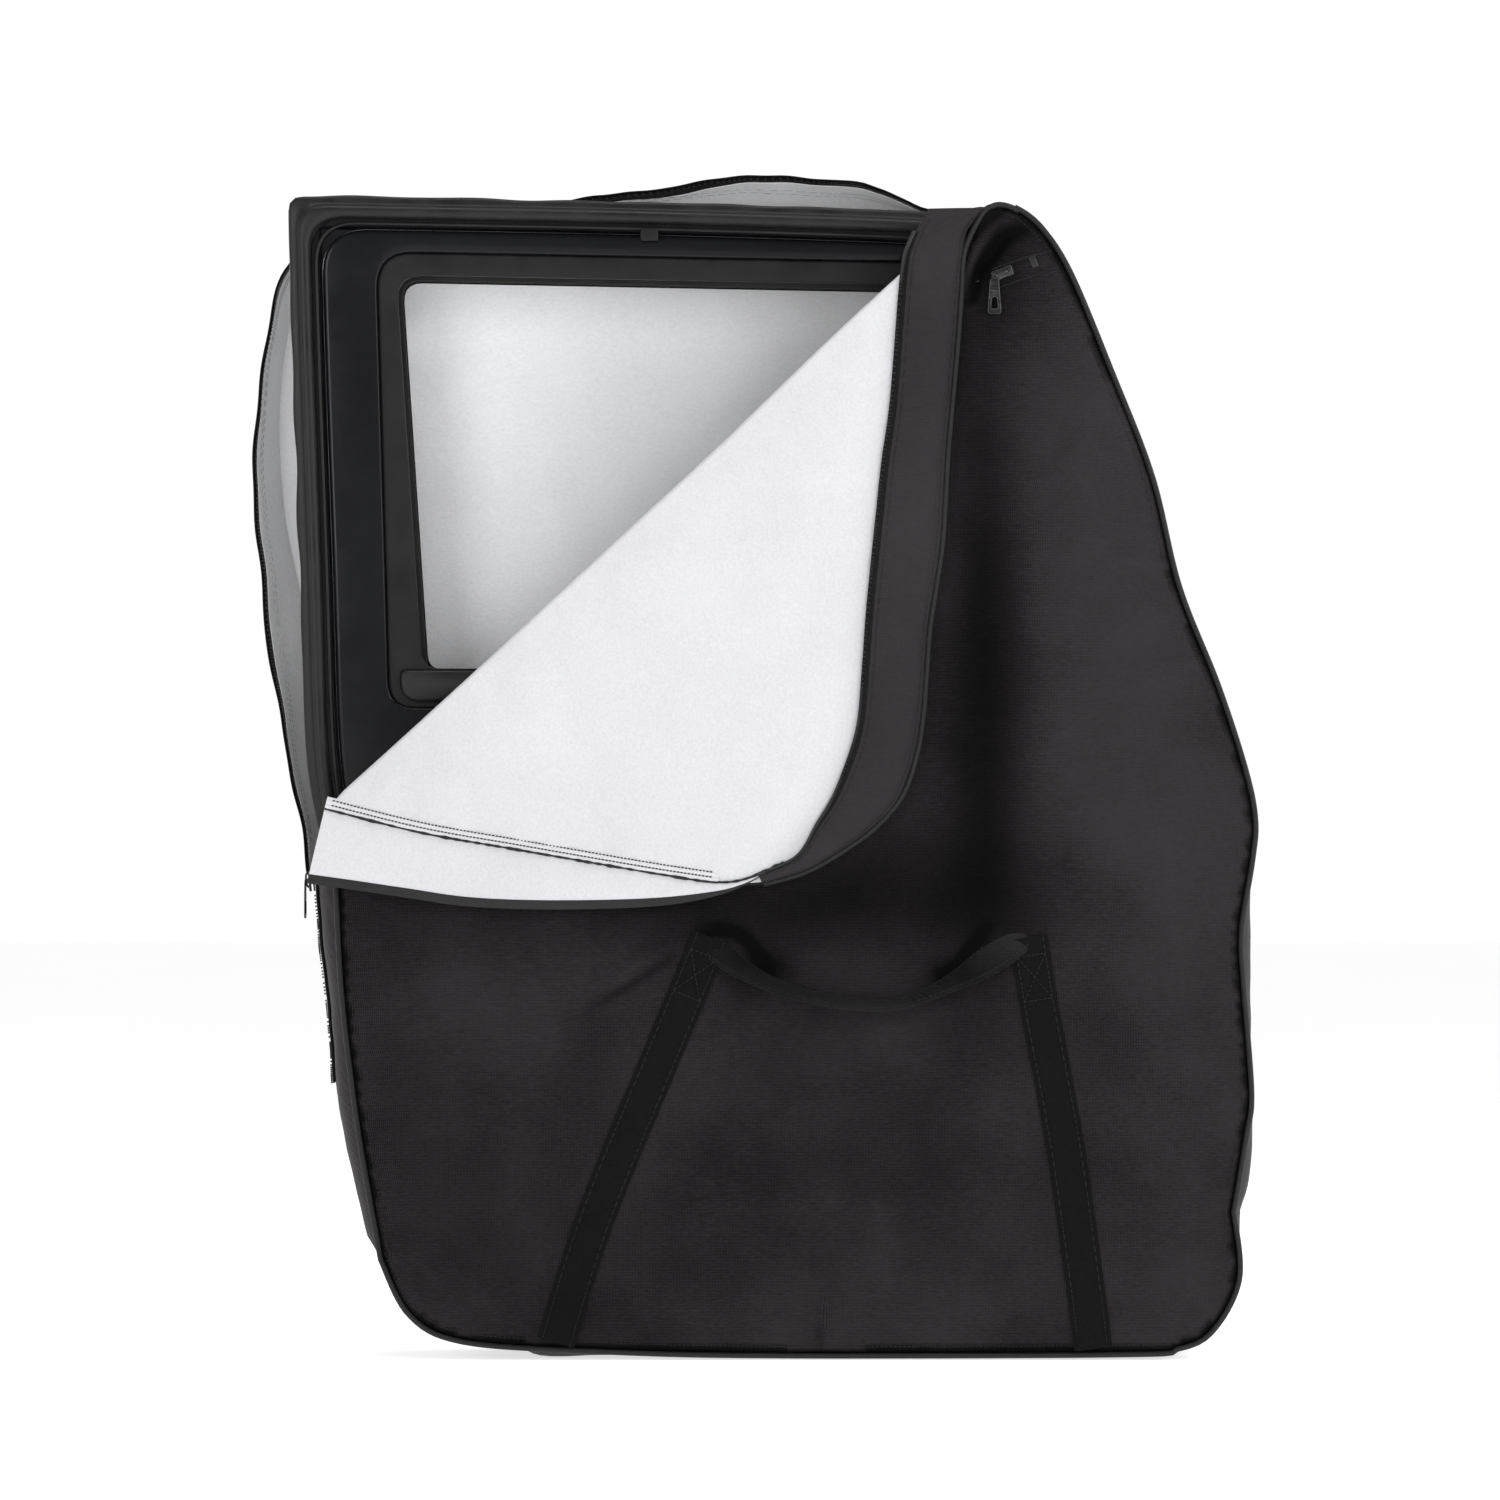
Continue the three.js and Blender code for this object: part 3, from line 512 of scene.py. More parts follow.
def woven(name, dark, light, pitch, depth, warm=0.13, worn=0.5, gloss=0.12, shading_painted=False, sheen=0.03):
    s = Shader(name, sheen_weight=sheen, sheen_roughness=0.4, specular_ior_level=gloss)
    threads = s.weave(pitch)
    slub = s.noise(650, 2, (0.25, 0.25, 1))
    cloud = s.noise(7, 4)
    fac = s.math("ADD", s.math("MULTIPLY", threads, 0.3), s.math("MULTIPLY", slub, 0.24))
    fac = s.math("ADD", fac, s.math("MULTIPLY", cloud, worn * 0.92))
    # The stored painted light and shade scale the cloth's colour.
    if shading_painted:
        painted_shading_at = s.node("Attribute", attribute_name="painted_shading").outputs["Fac"]
        fac = s.math("MULTIPLY", fac, painted_shading_at)
    s.color(fac, grey(dark, warm), grey(light, warm))
    s.rough(cloud, 0.5, 0.64)
    return s.bump((threads, depth), (slub, depth * 0.6), (s.noise(45, 3), depth * 2))


def nonwoven(name, dark, light, streak=(1, 1, 1), painted_glow=0.0, shading_painted=False):
    """Felted white fibre. Its emission is a constant glow that brightens the cloth in its shade: painted
    light.
    """
    s = Shader(name, sheen_weight=0.1, sheen_roughness=0.6, specular_ior_level=0.2,
               emission_color=(1, 1, 1, 1), emission_strength=painted_glow)
    fibre = s.noise(420, 4, streak)
    cloud = s.noise(9, 3)
    dots = s.node("TexVoronoi", s.place, Scale=430).outputs["Distance"]
    fac = s.math("ADD", s.math("MULTIPLY", fibre, 0.65), s.math("MULTIPLY", cloud, 0.35))
    s.color(fac, dark, light)
    # The stored painted light and shade scale the lining's colour.
    if shading_painted:
        tint = s.node("VectorMath", s.bsdf.inputs["Base Color"].links[0].from_socket, operation="SCALE")
        painted_shading_at = s.node("Attribute", attribute_name="painted_shading").outputs["Fac"]
        s.tree.links.new(painted_shading_at, tint.inputs["Scale"])
        s.tree.links.new(tint.outputs[0], s.bsdf.inputs["Base Color"])
    s.rough(fibre, 0.85, 1.0)
    return s.bump((fibre, 0.0003), (dots, 0.00015), (s.noise(60, 2), 0.0006))


def moulded(name, dark, light, rough, grain=900, depth=0.00006, **sockets):
    """Rubber and plastic: a fine grain, dust, and a duller bloom here and there."""
    s = Shader(name, **sockets)
    cloud = s.noise(25, 5)
    s.color(s.math("ADD", s.math("MULTIPLY", cloud, 0.8), s.math("MULTIPLY", s.noise(300), 0.2)),
            dark, light)
    s.rough(cloud, rough - 0.07, rough + 0.1)
    return s.bump((s.noise(grain, 2), depth), (s.noise(12, 2), depth * 6))


def painted(name, dark, light, rough, coat):
    """Sprayed metal: faint orange peel under a clear coat, and fine dust."""
    s = Shader(name, coat_weight=coat, coat_roughness=0.06, specular_ior_level=0.2)
    cloud = s.noise(6, 4)
    s.color(cloud, dark, light)
    s.rough(s.noise(30, 4), rough - 0.04, rough + 0.08)
    return s.bump((s.noise(160, 2), 0.00008), (s.noise(5, 2), 0.0006))


def metal(name, dark, light, rough, metallic=1.0):
    s = Shader(name, metallic=metallic)
    scuff = s.noise(60, 3, (1, 1, 4))
    s.color(scuff, dark, light)
    s.rough(scuff, rough - 0.06, rough + 0.1)
    return s.bump((scuff, 0.00004))


CLOTH = woven("black_cloth", 0.003, 0.024, 1.5 * MM, 0.00022)
# panel_cloth and handle_webbing take the stored painted light and shade.
PANEL_CLOTH = woven("panel_cloth", 0.0015, 0.036, 1.5 * MM, 0.00022, gloss=0.04, shading_painted=True, sheen=0.012)
BAND = woven("band_cloth", 0.016, 0.037, 1.5 * MM, 0.00022)
WEB = woven("webbing", 0.003, 0.009, 2.2 * MM, 0.0004, 0.0, gloss=0.06, sheen=0.015)
HANDLE_WEB = woven("handle_webbing", 0.002, 0.020, 2.2 * MM, 0.0004, 0.0, gloss=0.08, shading_painted=True)
TAPE = woven("zip_tape", 0.003, 0.009, 1.2 * MM, 0.0002, 0.0)
TAPE_FACE = woven("zip_tape_face", 0.02, 0.04, 1.2 * MM, 0.00012, 0.0)
CORD = woven("piping_cloth", 0.008, 0.024, 1.3 * MM, 0.0002, 0.0, gloss=0.3)
THREAD = woven("black_thread", 0.01, 0.03, 0.8 * MM, 0.0001, 0.0)
WHITE = nonwoven("white_lining", (0.643, 0.643, 0.661), (0.756, 0.756, 0.777))
# The back linings are paler than the flap's lining of the same cloth and glow a little: painted light inside
# the bag.
BACK_WHITE_PAINTED_LIGHT = nonwoven("back_lining", (0.80, 0.805, 0.82), (0.92, 0.925, 0.94), (0.6, 1, 1), 0.06)
BACK_PANEL_WHITE_PAINTED_LIGHT = nonwoven("back_panel_lining", (0.80, 0.805, 0.82), (0.92, 0.925, 0.94), (0.6, 1, 1), 0.06,
                            True)
WHITE_THREAD = nonwoven("white_thread", (0.45, 0.45, 0.47), (0.6, 0.6, 0.62))
COIL = moulded("zip_coil", (0.004, 0.004, 0.0045), (0.014, 0.014, 0.015), 0.3)
RUBBER = moulded("seal_rubber", (0.008, 0.008, 0.008), (0.021, 0.0205, 0.02), 0.42,
                 specular_ior_level=0.28)
PLASTIC = moulded("trim_plastic", (0.008, 0.008, 0.0085), (0.018, 0.018, 0.019), 0.5, 500, 0.0001,
                  specular_ior_level=0.22)
PAINT = painted("door_paint", (0.003, 0.0032, 0.0045), (0.007, 0.0075, 0.0095), 0.2, 0.1)
PULL = metal("pull_metal", (0.045, 0.045, 0.046), (0.08, 0.08, 0.082), 0.15, 1.0)
STEEL = metal("steel", (0.32, 0.33, 0.34), (0.5, 0.5, 0.52), 0.4)
GLASS = moulded("window_glass", (0.03, 0.04, 0.036), (0.04, 0.05, 0.045), 0.08, 40, 0.00002,
                transmission_weight=0.9, ior=1.5)


# ---------------------------------------------------------------- pieces
def piece(obj, body, look, replaces=(), sharp=50, between=None):
    """Gives a piece its material and smoothing, and makes it ride on its body. A piece given between
    stays where it is, on no body; the other body and the two points in between are not used."""
    obj.data.materials.clear()
    obj.data.materials.append(look)
    if obj.type == "MESH":
        obj.data.polygons.foreach_set("use_smooth", [True] * len(obj.data.polygons))
        obj.data.set_sharp_from_angle(angle=math.radians(sharp))
    if between:
        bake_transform(obj)
    else:
        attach(obj, body)
    if replaces:
        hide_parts(*([replaces] if isinstance(replaces, str) else replaces))
    return obj


def joined(name, parts):
    """Several meshes as one piece."""
    work = bmesh.new()
    for part in parts:
        work.from_mesh(part.data)
        bpy.data.objects.remove(part)
    mesh = bpy.data.meshes.new(name)
    work.to_mesh(mesh)
    work.free()
    obj = bpy.data.objects.new(name, mesh)
    scene.collection.objects.link(obj)
    return obj


def stitches(name, path, out, pitch=4.5 * MM, size=0.55 * MM):
    """A row of thread stitches along a path, standing a little out of the cloth. out is the way
    out of the cloth, one vector or one for each point."""
    count = max(2, int(length(path) / pitch))
    out = np.broadcast_to(out, path.shape)
    marks = resample(np.hstack([path, out]), count * 4 + 1)
    points, faces = [], []
    for i in range(count):
        run = marks[4 * i + 0:4 * i + 4]
        along = run[-1, :3] - run[0, :3]
        along /= np.linalg.norm(along)
        for k, (mark, fat) in enumerate(zip(run, (0.45, 1, 1, 0.45))):
            up = mark[3:] / np.linalg.norm(mark[3:])
            side = np.cross(along, up)
            middle = mark[:3] + up * size * (0.5 * fat - 0.1)
            for a, b in ((-1, 0), (-0.5, 0.75), (0.5, 0.75), (1, 0), (0.5, -0.75), (-0.5, -0.75)):
                points.append(middle + side * a * size * fat + up * b * size * fat)
        base = 24 * i
        for k in range(3):
            for j in range(6):
                a, b = base + 6 * k + j, base + 6 * k + (j + 1) % 6
                faces.append((a, b, b + 6, a + 6))
        faces.append(tuple(base + j for j in range(6)))
        faces.append(tuple(base + 18 + j for j in range(6)))
    return weld(mesh_object(name, points, faces))


def coil(name, path, across_by, out, pitch=2.4 * MM, high=1.3 * MM):
    """The teeth of one half of a coil zip: a row of loops along a path, each reaching across_by,
    a vector or one for each point."""
    count = int(length(path) / pitch)
    across_by = np.broadcast_to(across_by, path.shape)
    out = np.broadcast_to(out, path.shape)
    marks = resample(np.hstack([path, across_by, out]), count + 1)
    points, faces = [], []
    arc = [(-0.1, -0.35), (0.15, 0.6), (0.6, 0.75), (0.95, 0.45), (1.0, -0.1), (0.6, -0.4)]
    for i, mark in enumerate(marks):
        p, side, up = mark[:3], mark[3:6], mark[6:]
        up = up / np.linalg.norm(up)
        along = np.cross(side, up)
        along = along / np.linalg.norm(along) * pitch * 0.36
        for edge, fat in ((-1, 0.72), (-0.45, 1), (0.45, 1), (1, 0.72)):
            for a, b in arc:
                spot = 0.45 + (a - 0.45) * fat
                points.append(p + side * spot + up * (high * 0.5 + b * high * fat) + along * edge)
        base = 24 * i
        for k in range(3):
            for j in range(6):
                a, b = base + 6 * k + j, base + 6 * k + (j + 1) % 6
                faces.append((a, b, b + 6, a + 6))
        faces.append(tuple(base + j for j in range(6)))
        faces.append(tuple(base + 18 + j for j in range(6)))
    return weld(mesh_object(name, points, faces))


def drape(points, faces, held, pressure, grow, cap):
    """Cloth held at some of its points settles under a light pressure, in a short simulation. No
    point moves further than cap. Returns how far each one moved."""
    obj = mesh_object("cloth_trial", points, faces)
    group = obj.vertex_groups.new(name="held")
    group.add([int(i) for i in held], 1.0, "REPLACE")
    cloth = obj.modifiers.new("cloth", "CLOTH")
    cloth.settings.vertex_group_mass = "held"
    cloth.settings.effector_weights.gravity = 0
    cloth.settings.use_pressure = True
    cloth.settings.uniform_pressure_force = pressure
    cloth.settings.shrink_min = -grow
    cloth.settings.quality = 5
    cloth.settings.bending_stiffness = 4
    cloth.point_cache.frame_start = 1
    cloth.point_cache.frame_end = 20
    for step in range(1, 21):
        scene.frame_set(step)
    settled = obj.evaluated_get(bpy.context.evaluated_depsgraph_get()).data
    moved = np.array([v.co for v in settled.vertices], float) - points
    bpy.data.objects.remove(obj)
    scene.frame_set(1)
    far = np.linalg.norm(moved, axis=1)
    return moved * np.minimum(1, cap / np.maximum(far, 1e-9))[:, None]


# ---------------------------------------------------------------- the fold
fold_along = (FOLD_HIGH - FOLD_LOW) / np.linalg.norm(FOLD_HIGH - FOLD_LOW)
fold_across = np.array([fold_along[1], -fold_along[0]])
FOLD_POINTS = 110
fold_line = smooth(FOLD_SAG, FOLD_POINTS)  # the cloth sags a little below the straight fold


def roll(name, near, bulge, thickness):
    """The cloth that turns over along the fold, from the panel's layer at depth near to the flap's
    layer, bulging past the fold line."""
    half = FOLD_Y - near
    full = 0.2 + 0.8 * ease(np.linalg.norm(fold_line - fold_line[-1], axis=1) / (25 * MM))[:, None]
    full = full * (0.2 + 0.8 * ease(np.linalg.norm(fold_line - fold_line[0], axis=1) / (16 * MM)))[:, None]
    angle = np.linspace(0, math.pi, 17)
    layers = []
    for extra in (0, thickness):
        y = FOLD_Y - (half + extra * np.sign(half)) * np.cos(angle)
        # The cloth is pressed thin at the crest.
        out = (bulge + extra * (0.2 + 0.8 * np.abs(np.cos(angle)))) * np.sin(angle)
        grid = np.stack([lift(fold_line - fold_across * o * full, d) for o, d in zip(out, y)], axis=1)
        layers.append(grid)
    return slab(name, layers[0], layers[1])


def sewn(name, parts):
    """Parts that share an edge, joined into one closed mesh."""
    obj = joined(name, parts)
    work = bmesh.new()
    work.from_mesh(obj.data)
    bmesh.ops.remove_doubles(work, verts=work.verts, dist=1e-5)
    # Where the parts meet, the walls between them would be left inside the cloth.
    walls = []
    for face in work.faces:
        depths = [v.co.y for v in face.verts]
        shared = sum(len(edge.link_faces) > 2 for edge in face.edges)
        if shared >= 2 and max(depths) - min(depths) > 0.5 * MM:
            walls.append(face)
    bmesh.ops.delete(work, geom=walls, context="FACES")
    bmesh.ops.recalc_face_normals(work, faces=work.faces)
    work.to_mesh(obj.data)
    work.free()
    return obj


class Surface:
    """The depth of a panel's outer face at any (x, z)."""

    def __init__(self, points, depth):
        self.points, self.depth = points, depth

    def at(self, where):
        found = []
        for p in where:
            away = ((self.points - p) ** 2).sum(1)
            near = np.argpartition(away, 4)[:4]
            weight = 1 / (away[near] + 1e-8)
            found.append((self.depth[near] * weight).sum() / weight.sum())
        return np.array(found)


def paint_shading(obj, seam, patches=(), shades=()):
    """Stores painted light and shade for a piece's cloth at each point: 1 on open cloth, painted
    shade in the seam at its edge, painted shade or painted light in patches of (x, z, half width,
    half height, change) and along lines of (path, half width, change)."""
    points = np.array([(v.co.x, v.co.z) for v in obj.data.vertices])
    value = np.ones(len(points))
    for x, z, wide, high, change in patches:
        value += change * np.exp(-((points[:, 0] - x) / wide) ** 2 - ((points[:, 1] - z) / high) ** 2)
    for path, width, change in shades:
        value += ridge(points, path, width, change)
    if seam is not None:
        # Painted shade darkens the cloth in the seam's groove.
        value *= 0.3 + 0.7 * ease(to_run(points, seam) / (5 * MM))
    layer = obj.data.attributes.new("painted_shading", "FLOAT", "POINT")
    layer.data.foreach_set("value", value)


# ---------------------------------------------------------------- front and back panels
RING_GAP = 7 * MM
CELL = 8 * MM
SEAM_REACH = 3.5 * MM  # the panel's cloth reaches this far past its seam line, under the piping

front_rim = chain(every(FRONT_LEFT, RING_GAP), every(FRONT_BOTTOM, RING_GAP), every(FRONT_RIGHT, RING_GAP))
front_seam = np.vstack([fold_line[-1], front_rim, fold_line[0]])
back_seam = chain(every(BACK_LEFT, RING_GAP), every(BACK_BOTTOM, RING_GAP),
                  every(BACK_RIGHT, RING_GAP), every(BACK_TOP, RING_GAP),
                  every(BACK_SIDE, RING_GAP))[:-1]


def outward(run, by):
    moved = run.copy()
    moved[1:-1] -= normals2(run, False)[1:-1] * by
    return moved


FRONT_CREASES = [
    (((0.066, 0.008), (0.062, 0.085)), 0.007, -0.004),
    (((0.082, 0.010), (0.079, 0.070)), 0.009, 0.003),
    (((-0.175, 0.360), (-0.110, 0.400), (-0.060, 0.422)), 0.010, 0.0045),
    (((-0.165, 0.345), (-0.075, 0.400)), 0.012, -0.003),
    (((0.300, 0.800), (0.330, 0.920), (0.372, 1.020)), 0.018, 0.004),
    (((0.330, 0.760), (0.395, 0.900)), 0.014, -0.003),
    (((0.250, 0.900), (0.320, 1.090)), 0.016, -0.003),
    (((0.262, 0.840), (0.330, 0.930), (0.352, 0.985)), 0.010, 0.003),
    (((0.290, 0.720), (0.350, 0.790), (0.400, 0.812)), 0.010, 0.0028),
    (((0.350, 0.655), (0.410, 0.690), (0.462, 0.700)), 0.014, 0.0045),
    (((0.340, 0.690), (0.440, 0.735)), 0.016, -0.003),
    (((-0.385, 0.085), (-0.320, 0.130)), 0.009, 0.004),
    (((-0.372, 0.110), (-0.330, 0.165)), 0.010, -0.003),
    (((-0.300, 0.050), (-0.210, 0.085)), 0.012, 0.003),
    (((0.425, 0.140), (0.490, 0.175)), 0.010, 0.004),
    (((0.415, 0.165), (0.490, 0.200)), 0.012, -0.003),
    (((0.455, 0.300), (0.395, 0.480)), 0.020, 0.003),
    (((-0.380, 0.300), (-0.330, 0.420)), 0.016, 0.003),
    (((0.222, 0.520), (0.228, 0.700), (0.235, 0.960)), 0.030, -0.004),
    (((0.205, 1.060), (0.214, 1.090), (0.226, 1.117), (0.242, 1.136), (0.268, 1.152)), 0.008, 0.007),
    (((0.214, 1.050), (0.224, 1.084), (0.238, 1.106), (0.256, 1.124), (0.282, 1.134)), 0.007, -0.006),
]
FRONT_BULGES = [
    # middle, half width, half height, how far it stands out
    (0.345, 0.780, 0.085, 0.260, 0.0060),
    (0.120, 0.200, 0.200, 0.140, 0.0040),
    (-0.270, 0.250, 0.100, 0.150, 0.0035),
    (0.420, 0.400, 0.060, 0.180, 0.0035),
]

# Painted light and shade: shadow beside the band, under the flap and at the handle's ends; light on the right.
FRONT_PAINTED_SHADING_PATCHES = [
    # x, z, half width, half height, change
    (0.232, 0.720, 0.045, 0.330, -0.50),
    (-0.080, 0.460, 0.320, 0.050, -0.32),
    (0.130, 0.480, 0.100, 0.060, -0.20),
    (-0.300, 0.150, 0.100, 0.160, -0.12),
    (0.350, 0.820, 0.080, 0.220, 0.50),
    (0.430, 0.560, 0.070, 0.180, 0.42),
    (0.420, 0.250, 0.060, 0.150, 0.18),
    (0.230, 1.130, 0.050, 0.050, -0.25),
    (0.010, 0.392, 0.026, 0.016, -0.45),
    (0.190, 0.385, 0.014, 0.014, -0.45),
]
# Painted shade along the folded flap, in creases and beside the handle; a painted highlight on one crest.
FRONT_PAINTED_SHADING_LINES = [
    # path, half width, change
    (((0.188, 0.374), (0.210, 0.404), (0.238, 0.440)), 0.006, -0.7),
    (((-0.062, 0.428), (-0.020, 0.428), (0.004, 0.408), (0.018, 0.385)), 0.007, -0.5),
    (((0.216, 1.050), (0.224, 1.084), (0.238, 1.106), (0.256, 1.124), (0.284, 1.134)), 0.007, -0.6),
    (((0.205, 1.060), (0.214, 1.090), (0.226, 1.117), (0.242, 1.136), (0.268, 1.152)), 0.006, 0.35),
    (((0.066, 0.008), (0.064, 0.040)), 0.006, -0.15),
    (((-0.170, 0.350), (-0.125, 0.374), (-0.075, 0.408)), 0.005, -0.3),
]
FINE_SPOTS = [(0.240, 1.110, 0.055), (-0.350, 0.110, 0.060), (0.450, 0.170, 0.050), (0.070, 0.045, 0.050),
              (-0.120, 0.390, 0.060), (0.340, 0.880, 0.100), (0.210, 0.405, 0.045), (0.000, 0.405, 0.045)]
# Painted light on the back panel's bulges and painted shade low on its right: x, z, half width, half height,
# change.
BACK_PAINTED_SHADING_PATCHES = [(-0.24, 0.84, 0.14, 0.20, 0.35), (0.12, 0.86, 0.12, 0.18, 0.30), (0.25, 0.30, 0.16, 0.20, -0.10),
              (0.02, 0.20, 0.18, 0.12, 0.15)]

panel_edge = outward(front_seam, SEAM_REACH)
cells, cell_faces, _ = flat_cells(np.vstack([panel_edge, fold_line[1:-1]]), CELL, fine=FINE_SPOTS)
from_seam = to_run(cells, panel_edge)
from_fold = to_run(cells, fold_line)
at_rim = np.minimum(from_seam, from_fold) < 1e-5
free = ease(np.minimum(from_seam, from_fold) / 0.05)
swell = 0.0035 * ease(from_seam / 0.02) * ease(from_fold / 0.02)
swell = swell + free * (ripples(cells, 0.26, 0.0018, 3) + ripples(cells, 0.09, 0.0006, 4))
for x, z, wide, high, out in FRONT_BULGES:
    swell = swell + free * out * np.exp(-((cells[:, 0] - x) / wide) ** 2 - ((cells[:, 1] - z) / high) ** 2)
swell = swell + creased(cells, FRONT_CREASES) * ease(from_seam / 0.006) * ease(from_fold / 0.012)
tuck = (1 - ease(from_seam / (7 * MM))) * (FRONT_SHELL_BACK - FRONT_SKIN)  # down to the seam
tuck = tuck * ease(from_fold / 0.03)
trial = lift(cells, FRONT_SKIN - swell)
moved = drape(trial, cell_faces, np.flatnonzero(at_rim), 1.2, 0.006, 0.006)
front_face = FRONT_SKIN - swell + tuck + np.minimum(moved[:, 1], 0.001)
front_face = np.minimum(front_face, FRONT_SHELL_BACK - 0.3 * MM)
front_surface = Surface(cells, front_face)
front_panel = panel("front_panel", cells, cell_faces, front_face,
                    np.minimum(front_face + 2 * MM, FRONT_SHELL_BACK))
# The front panel stores its painted light and shade, with painted shade in its seam.
paint_shading(front_panel, panel_edge, FRONT_PAINTED_SHADING_PATCHES, FRONT_PAINTED_SHADING_LINES)
piece(front_panel, "bag", PANEL_CLOTH, "front_panel_shell")

cells, cell_faces, _ = flat_cells(inset(np.vstack([front_seam, fold_line[1:-1]]), 2.5 * MM), 16 * MM)
front_lining = panel("front_lining", cells, cell_faces, FRONT_LINING[0], FRONT_LINING[1])
piece(front_lining, "bag", WHITE, "front_panel_lining")

BACK_CREASES = [
    (((-0.30, 1.02), (-0.22, 0.88), (-0.18, 0.72)), 0.030, 0.004),
    (((0.02, 1.06), (0.10, 0.74)), 0.035, -0.003),
    (((-0.40, 0.30), (0.00, 0.40), (0.30, 0.42)), 0.040, 0.004),
    (((-0.20, 0.05), (-0.10, 0.50)), 0.030, 0.003),
    (((0.30, 0.10), (0.20, 0.70)), 0.034, -0.003),
    (((-0.44, 0.95), (-0.30, 1.10)), 0.024, 0.003),
    (((0.30, 0.94), (0.18, 1.08)), 0.014, 0.004),
    (((0.33, 0.90), (0.20, 1.06)), 0.014, -0.003),
    (((0.46, 0.34), (0.36, 0.52)), 0.014, 0.004),
    (((-0.39, 0.10), (-0.31, 0.17)), 0.009, 0.004),
    (((-0.37, 0.08), (-0.27, 0.13)), 0.010, -0.003),
    (((0.42, 0.09), (0.36, 0.18)), 0.010, 0.004),
    (((-0.01, 0.44), (0.06, 0.50), (0.16, 0.52)), 0.012, 0.003),
    (((-0.30, 0.60), (-0.10, 0.66), (0.12, 0.64)), 0.022, 0.003),
    (((-0.32, 0.57), (-0.08, 0.62)), 0.016, -0.0025),
]
BACK_BULGES = [(-0.24, 0.84, 0.12, 0.18, 0.005), (0.12, 0.86, 0.12, 0.16, 0.005),
               (0.02, 0.20, 0.20, 0.12, 0.004)]
back_ring = inset(back_seam, -SEAM_REACH)
cells, cell_faces, _ = flat_cells(back_ring, CELL)
from_seam = to_run(cells, back_ring, True)
swell = 0.0035 * ease(from_seam / 0.03) + ease(from_seam / 0.05) * ripples(cells, 0.3, 0.0018, 11)
for x, z, wide, high, out in BACK_BULGES:
    swell = swell + out * np.exp(-((cells[:, 0] - x) / wide) ** 2 - ((cells[:, 1] - z) / high) ** 2)
swell = (swell + creased(cells, BACK_CREASES)) * ease(from_seam / 0.012)
trial = lift(cells, BACK_SKIN + swell)
moved = drape(trial, [f[::-1] for f in cell_faces], np.flatnonzero(from_seam < 1e-5), 1.2, 0.006, 0.006)
tuck = (1 - ease(from_seam / (9 * MM))) * 2 * MM
back_face = BACK_SKIN + swell - tuck + np.maximum(moved[:, 1], -0.001)
back_surface = Surface(cells, back_face)
back_panel = panel("back_panel", cells, cell_faces, np.maximum(back_face - 2 * MM, 61.8 * MM), back_face)
# The back panel stores its painted light and shade, with painted shade in its seam.
paint_shading(back_panel, back_ring, BACK_PAINTED_SHADING_PATCHES)
piece(back_panel, "bag", PANEL_CLOTH, "back_panel_shell")

cells, cell_faces, _ = flat_cells(inset(back_seam, 2 * MM), 10 * MM)
from_seam = to_run(cells, inset(back_seam, 2 * MM), True)
sag = ease(from_seam / 0.04) * (0.0022 + ripples(cells, 0.22, 0.0014, 21) + ripples(cells, 0.07, 0.0004, 22))
lining_face = 60.0 * MM - sag - creased(cells, BACK_CREASES) * ease(from_seam / 0.02)
back_lining = panel("back_lining", cells, cell_faces, lining_face, lining_face + 1.5 * MM)
# Painted shade on the upper middle of the lining.
paint_shading(back_lining, None, [(-0.13, 0.97, 0.12, 0.16, -0.15), (0.08, 1.02, 0.12, 0.16, -0.28)])
piece(back_lining, "bag", BACK_PANEL_WHITE_PAINTED_LIGHT, "back_panel_lining")

# ---------------------------------------------------------------- gusset
WALL_GAP = 8 * MM
runs = [(FRONT_LEFT, MID_LEFT, BACK_LEFT), (FRONT_BOTTOM, MID_BOTTOM, BACK_BOTTOM),
        (FRONT_RIGHT, MID_RIGHT, BACK_RIGHT)]
rails = []
for k in range(3):
    rails.append(chain(*(smooth(run[k], round(length(spline(run[1])) / WALL_GAP)) for run in runs)))
u = np.linspace(0, 1, 17)
weight = 1 - np.abs(2 * u - 1) ** 3.2
wall = []
for t, w in zip(u, weight):
    base = rails[0] * (1 - t) + rails[2] * t
    wall.append(lift(base * (1 - w) + rails[1] * w, (2 * t - 1) * (BACK_SKIN - 2.1 * MM)))
wall = np.stack(wall, axis=1)
flat_wall = wall.reshape(-1, 3)
wrinkle = ripples(flat_wall, 0.12, 0.0012, 31) + ripples(flat_wall * [1, 0.4, 1], 0.045, 0.0006, 32)
wall = wall + grid_normals(wall) * (wrinkle.reshape(wall.shape[:2]) * weight)[:, :, None]
wall[:, :, 2] = np.maximum(wall[:, :, 2], 0.6 * MM)
gusset = cloth_grid("gusset", wall, GUSSET)
piece(gusset, "bag", BAND, ("left_gusset", "bottom_gusset", "right_gusset"))

